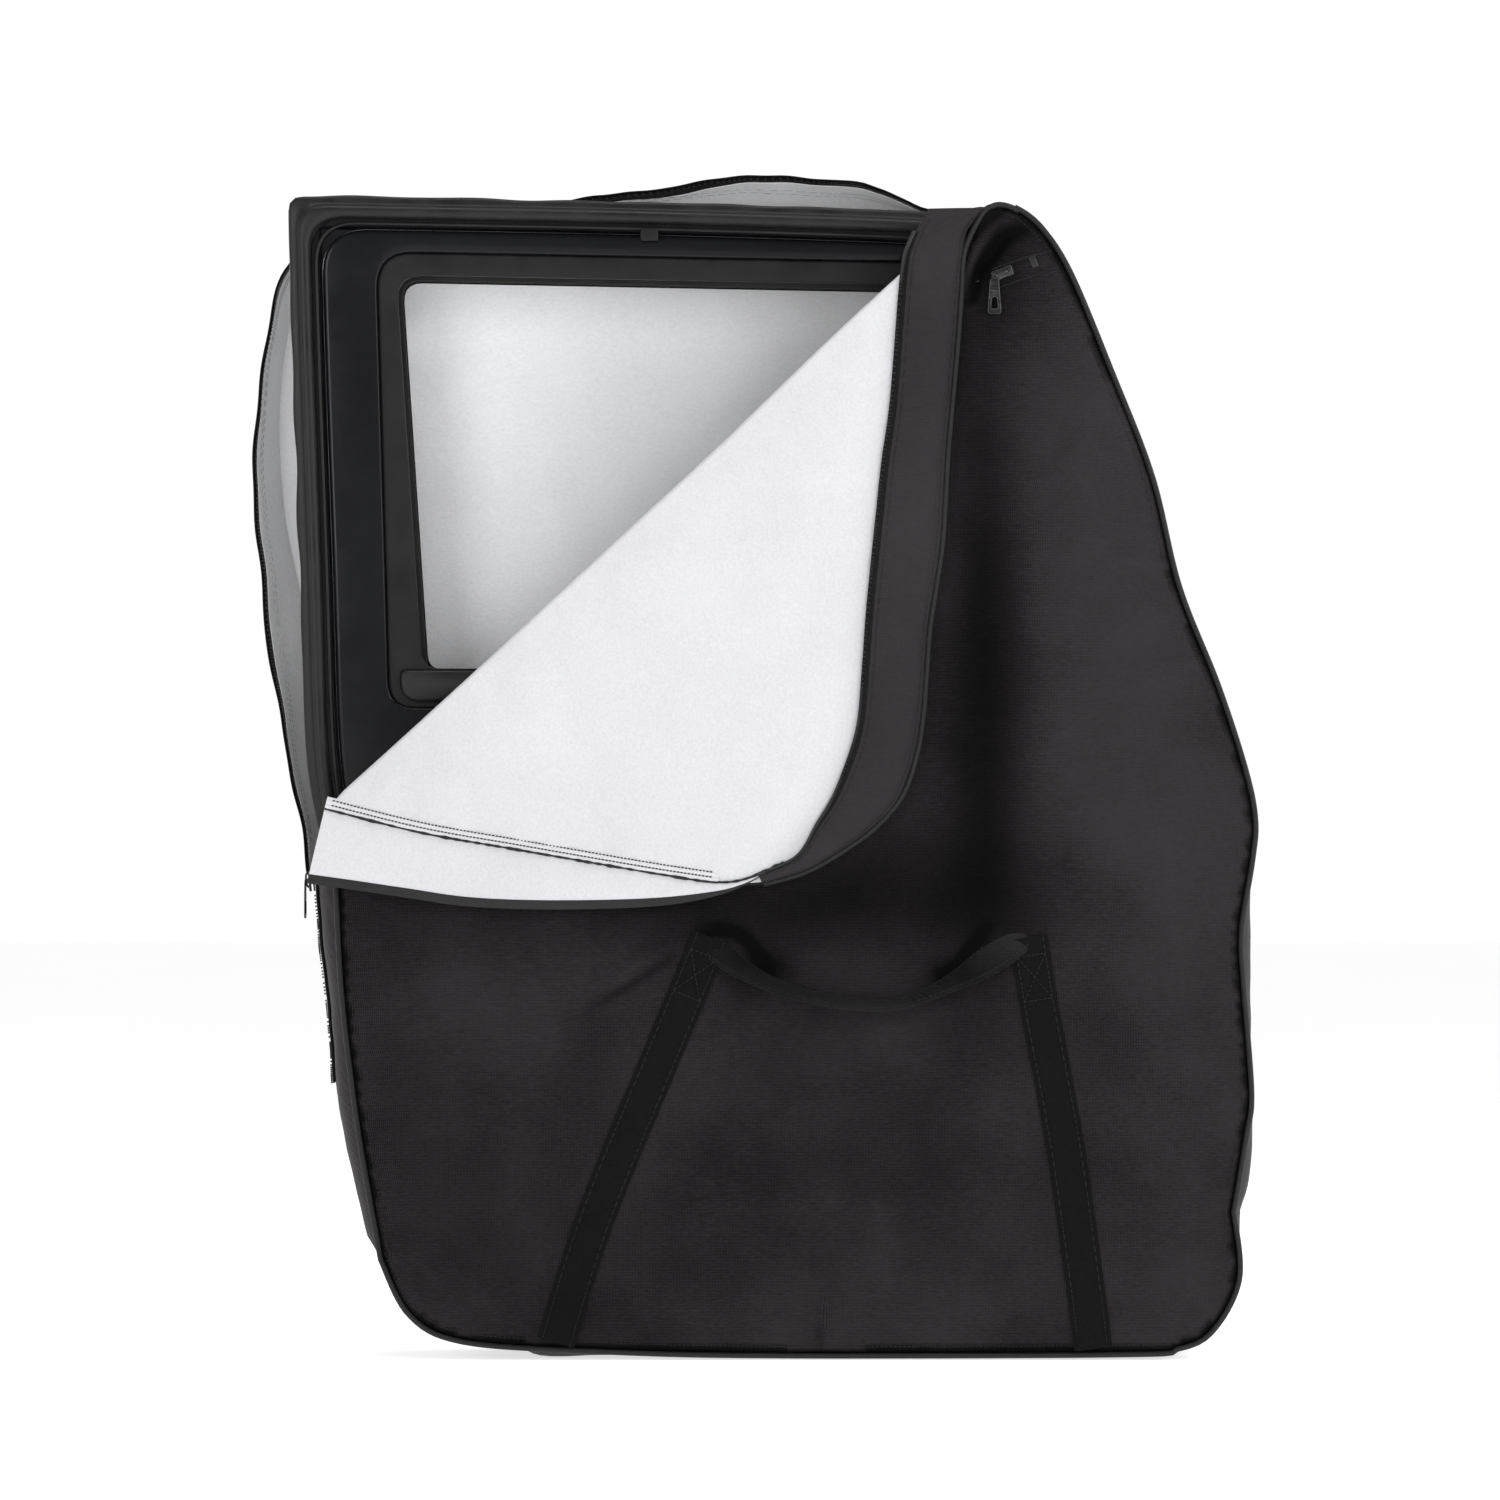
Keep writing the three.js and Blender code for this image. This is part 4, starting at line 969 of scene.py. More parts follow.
# The opened half: black outside, white inside, from the back seam to the zip.
open_edge = chain(every(OPEN_TOP, 7 * MM), every(OPEN_SIDE, 7 * MM))
count = len(open_edge)
open_seam = resample(chain(spline(BACK_TOP), spline(BACK_SIDE)), count)
open_seam = lift(open_seam, BACK_SKIN - 4.2 * MM)
half = across(open_edge, open_seam, 13)
waves = ripples(half.reshape(-1, 3), 0.13, 0.0022, 41) + ripples(half.reshape(-1, 3), 0.05, 0.0008, 42)
loose = np.linspace(1, 0, 13)[None, :] ** 0.7 * np.minimum(1, 8 * np.linspace(0, 1, count))[:, None]
inward = grid_normals(half)
if ((half.mean((0, 1)) - half) * inward).sum() < 0:
    inward = -inward
half = half + inward * (waves.reshape(half.shape[:2]) * loose)[:, :, None]
half = half - inward * (np.sin(np.linspace(0, 1, 13) * math.pi) * 0.004 * loose)[:, :, None]
# The lining stops a little short of the black edge, and further short where the top is fullest.
bare = 0.07 + 0.2 * np.exp(-(((open_edge[:, 0] + 0.11) / 0.07) ** 2)) * (open_edge[:, 2] > 1.1)
lined = np.empty_like(half)
for i, start in enumerate(bare):
    at = np.linspace(start, 1, 13)
    lined[i] = np.stack([np.interp(at, np.linspace(0, 1, 13), half[i, :, k]) for k in range(3)], axis=1)
for name, grid, near, far, slot_name, look, stands_for in (
        ("back_gusset_shell", half, 0.0, 1.3 * MM, "cloth", CLOTH, ("back_gusset_top", "back_gusset_side")),
        ("back_gusset_lining", lined, 1.5 * MM, 2.5 * MM, "lining", BACK_WHITE_PAINTED_LIGHT, ())):
    obj = slab(name, grid + inward * near, grid + inward * far)
    piece(obj, "bag", look, stands_for)


def unit(v):
    return v / np.linalg.norm(v, axis=-1, keepdims=True)


reach = unit(half[:, 0] - half[:, 2])
tape = slab("zip_tape_back_half", np.stack([half[:, 0] + reach * 4 * MM, half[:, 1]], axis=1),
            np.stack([half[:, 0] + reach * 4 * MM, half[:, 1]], axis=1) - inward[:, :2] * 1.2 * MM)
piece(tape, "bag", TAPE, "zip_tape_back")
edge_path = half[:, 0] + inward[:, 0] * 1.4 * MM
teeth = coil("zip_coil_back_half", edge_path, reach * 4 * MM, inward[:, 0])
piece(teeth, "bag", COIL, "zip_chain_back")
for k, row in enumerate((3, 4)):
    seam = half[:, row] + inward[:, row] * 2.5 * MM
    piece(stitches(f"back_half_stitches_{k}", seam[4:-4], inward[4:-4, row]), "bag",
          WHITE_THREAD)

# ---------------------------------------------------------------- piping
pipe_run = outward(front_seam, 5.8 * MM)[1:-1]
pipe_path = lift(pipe_run[(pipe_run[:, 0] > 0.256) | (pipe_run[:, 1] < 1.1)], -63.2 * MM)
pipe_path[:, 1] += ripples(pipe_path, 0.1, 0.0004, 51)
piece(tube("front_piping_cord", pipe_path, PIPING, 12), "bag", CORD, "front_piping")
back_pipe = lift(inset(back_seam, -5.8 * MM), 63.2 * MM)
piece(tube("back_piping_cord", back_pipe, PIPING, 12, True), "bag", CORD, "back_piping")
for name, run, y, out, looped in (
        ("front_seam_stitches", outward(front_seam, -4 * MM)[2:-2], front_surface, (0, -1, 0), False),
        ("back_seam_stitches", inset(back_seam, 4 * MM), back_surface, (0, 1, 0), True)):
    path = lift(run, y.at(run))
    piece(stitches(name, path, np.array(out, float)), "bag", THREAD)


# ---------------------------------------------------------------- straps and handles
def webbing(name, grid, body, out, replaces, look=WEB):
    """A webbing strap from a grid of points on its back face. out is a vector away from the bag."""
    n = grid_normals(grid)
    if (n * np.array(out)).sum() < 0:
        n = -n
    columns = grid.shape[1]
    round_edge = (1 - np.abs(np.linspace(-1, 1, columns)) ** 8 * 0.6)[None, :, None]
    obj = slab(name, grid + n * WEBBING * round_edge, grid)
    piece(obj, body, look, replaces)
    return obj, n


def strip_grid(centre, width, columns):
    """A grid of (x, z) points along a centreline."""
    side = normals2(centre, False)
    at = np.linspace(-width / 2, width / 2, columns)
    return np.stack([centre + side * a for a in at], axis=1)


for side, sign, surface in (("front", -1, front_surface), ("rear", 1, back_surface)):
    for hand, centre in STRAPS.items():
        run = every(centre, 9 * MM)
        flat_grid = strip_grid(run, WEBBING_WIDTH, 9)
        depth = surface.at(flat_grid.reshape(-1, 2)).reshape(flat_grid.shape[:2])
        # Webbing bridges the panel's small waves.
        depth = (sign * depth).max(axis=1, keepdims=True) * 0.7 + sign * depth * 0.3
        depth = sign * (depth + 0.4 * MM)
        grid = np.stack([flat_grid[:, :, 0], depth, flat_grid[:, :, 1]], axis=2)
        name = f"{side}_strap_{hand}"
        _, n = webbing(f"{name}_webbing", grid, "bag", (0, sign, 0), name)
        for k, column in enumerate((1, 7)):
            path = grid[:, column] + n[:, column] * WEBBING
            piece(stitches(f"{name}_stitches_{k}", path, n[:, column]), "bag", THREAD)
        corners = [grid[2, 1], grid[2, 7], grid[7, 1], grid[7, 7]]
        corners = [c + np.array([0, sign, 0]) * (WEBBING + 0.1 * MM) for c in corners]
        for k, (a, b) in enumerate(((0, 3), (1, 2), (0, 1), (2, 3))):
            path = resample(np.array([corners[a], corners[b]]), 12)
            piece(stitches(f"{name}_box_{k}", path, np.array([0.0, sign, 0.0])), "bag", THREAD)

# Painted light on the handle's right end, its middle and along its lower edge; painted shade near its right
# end and at its left.
HANDLE_PAINTED_SHADING_PATCHES = [(0.268, 0.424, 0.030, 0.016, 0.8), (0.215, 0.385, 0.020, 0.012, -0.3),
                (0.110, 0.352, 0.090, 0.006, 0.35), (0.000, 0.405, 0.030, 0.012, -0.4)]
HANDLE_PAINTED_HIGHLIGHT_LINES = [(((-0.060, 0.414), (-0.030, 0.388), (0.020, 0.364), (0.080, 0.350), (0.140, 0.349),
                   (0.196, 0.366), (0.250, 0.391)), 0.004, 0.5)]
for side, sign in (("front", 1), ("rear", -1)):
    a, b = smooth(HANDLE_FRONT, 64), smooth(HANDLE_BACK, 64)
    t = np.linspace(0, 1, 9)[None, :, None]
    grid = a[:, None] * (1 - t) + b[:, None] * t
    cup = np.sin(t * math.pi) * 0.0035  # the webbing cups a little along its middle
    grid = grid + grid_normals(grid) * cup
    grid[:, :, 1] *= sign
    obj, n = webbing(f"{side}_handle_webbing", grid, f"handle_{side}", (0, -sign * 0.2, 1.0),
                     f"{side}_handle", HANDLE_WEB)
    paint_shading(obj, None, HANDLE_PAINTED_SHADING_PATCHES, HANDLE_PAINTED_HIGHLIGHT_LINES)
    for k, column in enumerate((1, 7)):
        path = grid[:, column] + n[:, column] * WEBBING
        piece(stitches(f"{side}_handle_stitches_{k}", path, n[:, column]), f"handle_{side}",
              THREAD)

# ---------------------------------------------------------------- flap
flap_run = every(np.vstack([STRIP_SEAM, BAND_SEAM[::-1]]), RING_GAP)
beyond_fold = (flap_run - FOLD_LOW) @ fold_across
flap_run = flap_run[beyond_fold > np.where(flap_run[:, 0] < 0, 17, 8) * MM]
flap_edge = np.vstack([fold_line[-1], flap_run, fold_line[0]])
flap_edge[1:-1] += normals2(flap_edge, False)[1:-1] * 1.5 * MM

BEND_START = (0.0, -64.3 * MM, 0.0)
BEND_END = (0.0, -79.3 * MM, 0.0)
FLAP_CREASES = [
    (((-0.40, 0.590), (-0.10, 0.545)), 0.016, 0.0030),
    (((-0.30, 0.620), (0.02, 0.560)), 0.022, -0.0020),
    (((0.08, 0.98), (0.03, 0.80), (0.00, 0.64)), 0.030, 0.0030),
    (((-0.20, 0.74), (0.00, 0.60)), 0.040, 0.0020),
    (((-0.02, 0.90), (0.05, 0.70)), 0.040, -0.0015),
    (((-0.24, 0.70), (-0.12, 0.66)), 0.020, 0.0015),
]
# The lining stops a little short of the band's sewn edge, which turns down over it.
lining_edge = flap_edge.copy()
short = ease((flap_edge[:, 0] - 0.01) / 0.03) * 4 * MM
lining_edge[1:-1] += (normals2(flap_edge, False) * short[:, None])[1:-1]
cells, cell_faces, _ = flat_cells(np.vstack([lining_edge, fold_line[1:-1]]), CELL)
from_rim = np.minimum(to_run(cells, lining_edge), to_run(cells, fold_line))
band_ring = np.vstack([spline(BAND_ZIP), spline(BAND_SEAM)[::-1]])
under_band = np.array([within(p, band_ring) for p in cells])
clear_of_band = np.where(under_band, 0, ease(to_run(cells, spline(BAND_ZIP)) / 0.045))
swell = 0.002 * ease(from_rim / 0.03) + ease(from_rim / 0.05) * (
    ripples(cells, 0.3, 0.0014, 61) + ripples(cells, 0.08, 0.0004, 62))
swell = (swell + creased(cells, FLAP_CREASES) * ease(from_rim / 0.01)) * clear_of_band
rim = np.flatnonzero(from_rim < 1e-5)
moved = drape(lift(cells, flap_lining_low.y - swell), cell_faces, rim, 1.0, 0.005, 0.004)
lining_face = flap_lining_low.y - swell + np.minimum(moved[:, 1], 0.0008) * clear_of_band
sheet_part = panel("flap_lining_flat", cells, cell_faces, lining_face, flap_lining_high.y)
roll_part = roll("flap_lining_roll", FRONT_LINING[0], 3.7 * MM, 1.5 * MM)
flap_lining = sewn("flap_white_lining", [sheet_part, roll_part])
piece(flap_lining, "bag", WHITE, "flap_lining",
      between=("flap", (0.0, -61.9 * MM, 0.0), (0.0, -81.7 * MM, 0.0)))
# The side seam's hem: a raised fold of the lining, sewn down with two rows.
hem_run = every(STRIP_SEAM, 6 * MM)
hem_in = normals2(hem_run, False)
hem_at = (-0.5, 0.3, 1.4, 3.0, 4.4, 5.8, 7.8, 9.4, 10.8, 12.0)
hem_rise = (0.3, 1.7, 2.4, 2.3, 1.4, 2.3, 2.3, 1.4, 1.0, 0.1)
hem = np.stack([lift(hem_run + hem_in * t * MM, flap_lining_low.y - r * MM)
                for t, r in zip(hem_at, hem_rise)], axis=1)
hem[:, :, 1] -= np.maximum(ripples(hem.reshape(-1, 3), 0.05, 0.0004, 64).reshape(hem.shape[:2]), 0)
hem_floor = hem.copy()
hem_floor[:, :, 1] = np.maximum(hem[:, :, 1] + 1 * MM, flap_lining_low.y - 0.1 * MM)
flap_hem = slab("flap_side_hem", hem, hem_floor)
piece(flap_hem, "flap", WHITE)
for k, column in enumerate((4, 7)):
    path = hem[1:-1, column] - np.array([0, 0.3 * MM, 0])
    piece(stitches(f"flap_side_stitches_{k}", path, np.array([0.0, -1.0, 0.0]), 3.6 * MM, 0.7 * MM),
          "flap", THREAD)

# The black cloth reaches past the lining's side edge, under the binding.
shell_edge = flap_edge.copy()
shell_edge[1:-1] -= normals2(flap_edge, False)[1:-1] * 2.8 * MM
shell_cells, shell_faces, _ = flat_cells(np.vstack([shell_edge, fold_line[1:-1]]), 14 * MM)
sheet_part = panel("flap_shell_flat", shell_cells, shell_faces, flap_shell_low.y, flap_shell_high.y)
roll_part = roll("flap_shell_roll", FRONT_SKIN, 2.9 * MM, 2 * MM)
flap_shell = sewn("flap_black_shell", [sheet_part, roll_part])
piece(flap_shell, "bag", CLOTH, "flap_shell", between=("flap", BEND_START, BEND_END))

# ---------------------------------------------------------------- flap: curled half of the gusset
BAND_ROWS = 110
BAND_Y = flap_lining_low.y - 3.5 * MM
band_zip = smooth(BAND_ZIP, BAND_ROWS)
band_seam = smooth(np.vstack([mm(231, 1150.5, 218, 1136, 209, 1112), BAND_SEAM[2:]]), BAND_ROWS)
t = np.linspace(0, 1, 15)
down = np.linspace(0, 1, BAND_ROWS)
rise = np.clip(down * 9, 0.15, 1) * np.clip((1 - down) * 9, 0.35, 1)
band = band_zip[:, None] * (1 - t)[None, :, None] + band_seam[:, None] * t[None, :, None]
arch = np.sin(np.clip(t * 1.06, 0, 1) ** 0.8 * math.pi) ** 0.6
depth = BAND_Y - rise[:, None] * (1.5 * MM + 8 * MM * arch[None, :])
depth[:, -2:] += np.array([3.0, 6.5]) * MM
band = np.stack([band[:, :, 0], depth, band[:, :, 1]], axis=2)
crumple = ripples(band.reshape(-1, 3), 0.11, 0.0014, 71) + ripples(band.reshape(-1, 3), 0.04, 0.0005, 72)
band[:, :, 1] += crumple.reshape(band.shape[:2]) * (0.15 + 0.85 * arch)[None, :]
n = grid_normals(band)
if n[:, :, 1].mean() > 0:
    n = -n
flap_band = slab("flap_gusset_band", band, band - n * 2.2 * MM)
piece(flap_band, "flap", BAND, "flap_band")
for name, row in (("band_seam_stitches", 13), ("band_zip_stitches", 2)):
    piece(stitches(name, band[2:-3, row], n[2:-3, row]), "flap", THREAD)
toothed = band[4:]
side = unit(toothed[:, 0] - toothed[:, 2])
edge = np.stack([toothed[:, 0] + side * 4.2 * MM, toothed[:, 1]], axis=1)
tape = slab("zip_tape_flap_top_half", edge, edge - n[4:, :2] * 1.2 * MM)
piece(tape, "flap", TAPE, "zip_tape_flap_top")
teeth = coil("zip_coil_flap_top_half", toothed[:, 0] + n[4:, 0] * 0.2 * MM, side * 3.6 * MM, n[4:, 0],
             1.7 * MM, 1.0 * MM)
piece(teeth, "flap", COIL, "zip_chain_flap_top")
# The piping turns outward at the top, over the corner of the bag.
pipe_top = mm3(265, -63.2, 1148.5, 257, -64, 1153, 247, -69, 1155, 239, -74, 1153.5)
pipe_down = band[1:, -1] + np.array([1.6, 0.5, -0.6]) * MM
pipe = tube("flap_piping_top_cord", every(np.vstack([pipe_top, pipe_down[::6]]), 4 * MM), PIPING, 12)
piece(pipe, "bag", CORD, "flap_piping_top",
      between=("flap", (0.252, -0.066, 1.154), (0.215, -0.079, 1.128)))

# ---------------------------------------------------------------- flap: flat half of the gusset
STRIP_ROWS = 90
strip_zip = smooth(np.vstack([STRIP_ZIP, mm(-10, 476, 22, 494)]), STRIP_ROWS)
strip_seam = smooth(np.vstack([STRIP_SEAM, mm(0, 484, 34, 502)]), STRIP_ROWS)
t = np.linspace(0, 1, 11)
strip = strip_zip[:, None] * (1 - t)[None, :, None] + strip_seam[:, None] * t[None, :, None]
lean = np.linspace(6, 0, 11) + 1.5 * np.sin(t * math.pi)
tucked = np.clip((np.linspace(1, 0, STRIP_ROWS)) * 7, 0, 1)[:, None]
depth = flap_lining_low.y - 0.4 * MM - lean[None, :] * MM * tucked
strip = np.stack([strip[:, :, 0], np.broadcast_to(depth, strip.shape[:2]), strip[:, :, 1]], axis=2)
flutter = ripples(strip.reshape(-1, 3), 0.14, 0.0014, 81).reshape(strip.shape[:2])
strip[:, :, 1] += np.minimum(flutter, 0.001) * np.linspace(1, 0.1, 11)[None, :]
n = grid_normals(strip)
if n[:, :, 1].mean() > 0:
    n = -n
for name, near, far, slot_name, look, stands_for in (
        ("flap_strip_lining", 0.0, -1.0 * MM, "lining", WHITE, "flap_strip"),
        ("flap_strip_shell", -1.2 * MM, -2.4 * MM, "cloth", CLOTH, ())):
    obj = slab(name, strip + n * near, strip + n * far)
    piece(obj, "flap_side", look, stands_for)
side = unit(strip[:, 0] - strip[:, 2])
edge = np.stack([strip[:, 0] + side * 6 * MM, strip[:, 0] + side * 2 * MM + n[:, 0] * 0.8 * MM,
                 strip[:, 0] - side * 3.5 * MM + n[:, 0] * 0.3 * MM], axis=1)
tape = slab("zip_tape_flap_side_half", edge, edge - np.stack([n[:, 0]] * 3, axis=1) * 1.2 * MM)
piece(tape, "flap_side", TAPE_FACE, "zip_tape_flap_side")
teeth = coil("zip_coil_flap_side_half", strip[:, 0] + side * 1 * MM - n[:, 0] * 1.6 * MM,
             side * 4 * MM, -n[:, 0])
piece(teeth, "flap_side", COIL, "zip_chain_flap_side")
seam_path = every(strip[::4, -1] + n[::4, -1] * 1.5 * MM - np.array([0, 0, 0.8 * MM]), 2.5 * MM)
fray = np.maximum(1.2 * MM + ripples(seam_path, 0.010, 0.0005, 83), 0.7 * MM)
piece(tube("flap_side_binding", seam_path, fray, 8), "flap_side", CORD, "flap_piping_side")

# ---------------------------------------------------------------- closed zip, sliders and pull tabs
wall_out = grid_normals(wall)
if wall_out[5, 8, 0] > 0:
    wall_out = -wall_out
left_rows = [i for i, p in enumerate(wall[:, 8]) if p[0] < -0.38 and 0.268 < p[2] < 0.4869]


def on_gusset(y, above):
    """Points down the left gusset at one depth, a little above its outer face."""
    skin = wall[left_rows] + wall_out[left_rows] * (GUSSET + above)
    return np.array([[np.interp(y, row[:, 1], row[:, 0]), y, np.interp(y, row[:, 1], row[:, 2])]
                     for row in skin])


away = unit(wall_out[left_rows, 8])
ribbon = np.stack([on_gusset(y * MM, rise * MM) for y, rise in
                   zip(np.linspace(-17, 5, 7), (0.9, 1.4, 1.6, 1.3, 1.6, 1.4, 0.9))], axis=1)
tape = slab("zip_tape_closed_run", ribbon, ribbon - away[:, None] * 1.8 * MM)
piece(tape, "bag", TAPE, "zip_tape_closed")
closed_path = on_gusset(-6 * MM, 2.0 * MM)
for name, turn in (("zip_coil_closed_a", -1), ("zip_coil_closed_b", 1)):
    teeth = coil(name, closed_path[2:], np.array([0.0, 3.2 * MM * turn, 0.0]), away[2:])
    piece(teeth, "bag", COIL, "zip_chain_closed" if turn == 1 else ())

end_low, end_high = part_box("zip_tape_end")
end_from = np.array([end_low.x + 2 * MM, end_high.y - 0.4 * MM, end_low.z + 6.5 * MM])
end_to = np.array([end_high.x - 2 * MM, end_high.y - 0.4 * MM, end_high.z - 6.5 * MM])
end_along = unit(end_to - end_from)
end_up = np.array([-end_along[2], 0, end_along[0]])
end_path = resample(np.array([end_from, end_to]), 40)
front_away = np.array([0.0, -1.0, 0.0])
ribbon = np.stack([end_path + end_up * w * MM + front_away * d * MM
                   for w, d in zip(np.linspace(-7, 7, 7), (0.6, 1.4, 1.7, 1.5, 1.7, 1.4, 0.6))], axis=1)
tape = slab("zip_tape_end_run", ribbon, ribbon - front_away * 1.4 * MM)
piece(tape, "bag", TAPE, "zip_tape_end")
for name, turn in (("zip_coil_end_a", -1), ("zip_coil_end_b", 1)):
    teeth = coil(name, end_path[1:30] + front_away * 1.8 * MM, end_up * 3.4 * MM * turn, front_away)
    piece(teeth, "bag", COIL, "zip_chain_end" if turn == 1 else ())


for name, points in (("zip_end_welt_upper", (238, 1090, 252, 1095, 268, 1101, 281, 1105, 297, 1109)),
                     ("zip_end_welt_lower", (240, 1071, 256, 1076, 282, 1085, 303, 1094))):
    welt = every(mm(*points), 3 * MM)
    path = lift(welt, front_surface.at(welt) - 0.3 * MM)
    piece(tube(name, path, 1.1 * MM, 8), "bag", CLOTH)


def block(name, ring, y_front, y_back, round_by):
    """A plate with rounded edges, from a ring of (x, z) points and two depths."""
    levels = [(round_by, y_back), (0.3 * round_by, y_back - 0.25 * round_by), (0, y_back - round_by),
              (0, y_front + round_by), (0.3 * round_by, y_front + 0.25 * round_by), (round_by, y_front)]
    rings = [lift(inset(ring, by), y) for by, y in levels]
    count = len(ring)
    points = np.vstack(rings)
    faces = []
    for k in range(len(levels) - 1):
        for i in range(count):
            j = (i + 1) % count
            faces.append((k * count + i, k * count + j, (k + 1) * count + j, (k + 1) * count + i))
    faces += [tuple(range(count)), tuple(range((len(levels) - 1) * count, len(levels) * count))]
    return weld(mesh_object(name, points, faces))


def placed(obj, x_axis, y_axis, z_axis, origin):
    """Moves a piece made on its own axes to its place."""
    points = np.array([v.co for v in obj.data.vertices], float)
    moved = np.outer(points[:, 0], x_axis) + np.outer(points[:, 1], y_axis) + np.outer(points[:, 2], z_axis)
    for v, p in zip(obj.data.vertices, moved + origin):
        v.co = p
    return weld(obj)


def slider(name):
    """A zip slider on its own axes: nose up, face to -Y, middle at the origin."""
    waist = rounded([(-6, 11, 3), (6, 11, 3), (4.6, -1, 3), (5.2, -11, 2), (-5.2, -11, 2), (-4.6, -1, 3)], 5)
    top = block("part", waist, -2.2 * MM, 0.0, 0.6 * MM)
    base = block("part", waist, 2.2 * MM, 3.4 * MM, 0.4 * MM)
    post = block("part", rounded([(-1.6, 10, 1), (1.6, 10, 1), (1.6, 3, 1), (-1.6, 3, 1)], 4),
                 -0.5 * MM, 2.6 * MM, 0.3 * MM)
    bend = [(0, -2, 7.5), (0, -4.2, 6.5), (0, -4.8, 2), (0, -4.6, -3), (0, -3.2, -6), (0, -1.6, -6.6)]
    bridge = tube("part", smooth(mm3(*[n for p in bend for n in p]), 18), 1.1 * MM, 10)
    return joined(name, [top, base, post, bridge])


def pull(name):
    """A pull tab on its own axes: hanging from the origin, face to -Y."""
    ring = rounded([(-4.2, -2, 2), (4.2, -2, 2), (7, -38, 3.4), (-7, -38, 3.4)], 6)
    hole = rounded([(-2.4, -21, 2), (2.4, -21, 2), (3.8, -33, 2.6), (-3.8, -33, 2.6)], 6)
    points, faces, _ = flat_cells(inset(ring, 0.4 * MM), 3 * MM, [inset(hole, -0.4 * MM)])
    thick = 0.8 * MM
    plates = [panel("part", points, faces, -thick, thick)]
    rim = tube("part", lift(resample(inset(ring, 0.5 * MM), 60, True), 0.0), 0.95 * MM, 8, True)
    lip = tube("part", lift(resample(inset(hole, -0.5 * MM), 40, True), 0.0), 0.95 * MM, 8, True)
    ribs = [tube("part", mm3(-3, -0.9, z, 3, -0.9, z), 0.5 * MM, 6) for z in (-12, -15, -18)]
    angle = np.linspace(0, 2 * math.pi, 24, endpoint=False)
    loop = np.stack([2.6 * MM * np.cos(angle), np.zeros(24), -1.6 * MM + 2.2 * MM * np.sin(angle)], axis=1)
    eye = tube("part", loop, 0.8 * MM, 8, True)
    return joined(name, [*plates, rim, lip, *ribs, eye])


slider_low, slider_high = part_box("zip_slider_left")
place = np.array([(slider_low.x + slider_high.x) / 2, (slider_low.y + slider_high.y) / 2,
                  (slider_low.z + slider_high.z) / 2])
down = unit(closed_path[-1] - closed_path[0])
slider_out = np.array([down[2], 0, -down[0]])
left_slider = placed(slider("left_slider"), np.array([0, -1.0, 0]), -slider_out, -down, place)
piece(left_slider, "slider_left", PULL, "zip_slider_left")
tab_low, tab_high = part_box("pull_tab_left")
left_pull = placed(pull("left_pull"), np.array([0, -1.0, 0]), np.array([1.0, 0, 0]), np.array([0, 0, 1.0]),
                   np.array([(tab_low.x + tab_high.x) / 2, (tab_low.y + tab_high.y) / 2, tab_high.z]))
piece(left_pull, "tab_left", PULL, "pull_tab_left")

slider_low, slider_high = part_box("zip_slider_right")
place = np.array([(slider_low.x + slider_high.x) / 2, slider_low.y + 3 * MM,
                  (slider_low.z + slider_high.z) / 2])
right_slider = placed(slider("right_slider"), end_up, np.array([0, 1.0, 0]), -end_along, place)
piece(right_slider, "slider_right", PULL, "zip_slider_right")
tab_low, tab_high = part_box("pull_tab_right")
right_pull = placed(pull("right_pull"), np.array([1.0, 0, 0]), np.array([0, 1.0, 0]), np.array([0, 0, 1.0]),
                    np.array([(tab_low.x + tab_high.x) / 2, (tab_low.y + tab_high.y) / 2, tab_high.z]))
piece(right_pull, "tab_right", PULL, "pull_tab_right")
box_low, box_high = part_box("zip_end_box")
middle = np.array([(box_low.x + box_high.x) / 2, box_low.y, (box_low.z + box_high.z) / 2])
end_box = placed(block("zip_end_stop", rounded([(-3.4, 6.4, 1.5), (3.4, 6.4, 1.5), (3.4, -6.4, 1.5),
                                                (-3.4, -6.4, 1.5)], 5), 0.0, 5 * MM, 1 * MM),
                 end_along, np.array([0, 1.0, 0]), end_up, middle)
piece(end_box, "bag", COIL, "zip_end_box")

# ---------------------------------------------------------------- the door
DOOR_STEPS = 6
door_run = spline(DOOR, DOOR_STEPS)
arc_t = np.linspace(0, 1, 9)[:, None]
arc = (1 - arc_t) ** 2 * DOOR[-1] + 2 * arc_t * (1 - arc_t) * DOOR_CORNER + arc_t**2 * DOOR[0]
door_ring = resample(np.vstack([door_run, arc[1:-1]]), 420, True)

# One rubber section: the lip that reaches out over the bag's side, and the hollow bulb on it.
bulb = [(15.5 - 6.5 * math.cos(a), -34.5 - 6.5 * math.sin(a)) for a in np.linspace(0.15, math.pi - 0.1, 11)]
section = [(0.6, -28.4), (0.0, -30.5), (1.0, -32.6), (4.0, -33.4), (7.5, -33.6), *bulb,
           (22.3, -31.5), (21.5, -28.0), (11.0, -27.6)]
lip_wave = ripples(door_ring, 0.08, 0.0008, 91)[:, None] * normals2(door_ring)
rings = []
for d, y in section:
    ring = inset(door_ring, d * MM) + lip_wave * max(0, 1 - d / 8)
    if d > 8:
        ring = eased_corner(ring, (d + 12) * MM)
    rings.append(lift(ring, y * MM))


def swept(name, rings, looped=True):
    """A closed solid from rings of equal count, each the path of one corner of its section."""
    count, sides = len(rings[0]), len(rings)
    points = np.vstack(rings)
    faces = []
    for k in range(sides):
        m = (k + 1) % sides
        for i in range(count if looped else count - 1):
            j = (i + 1) % count
            faces.append((k * count + i, k * count + j, m * count + j, m * count + i))
    if not looped:
        faces += [tuple(k * count for k in range(sides)), tuple(k * count + count - 1 for k in range(sides))]
    return weld(mesh_object(name, points, faces))


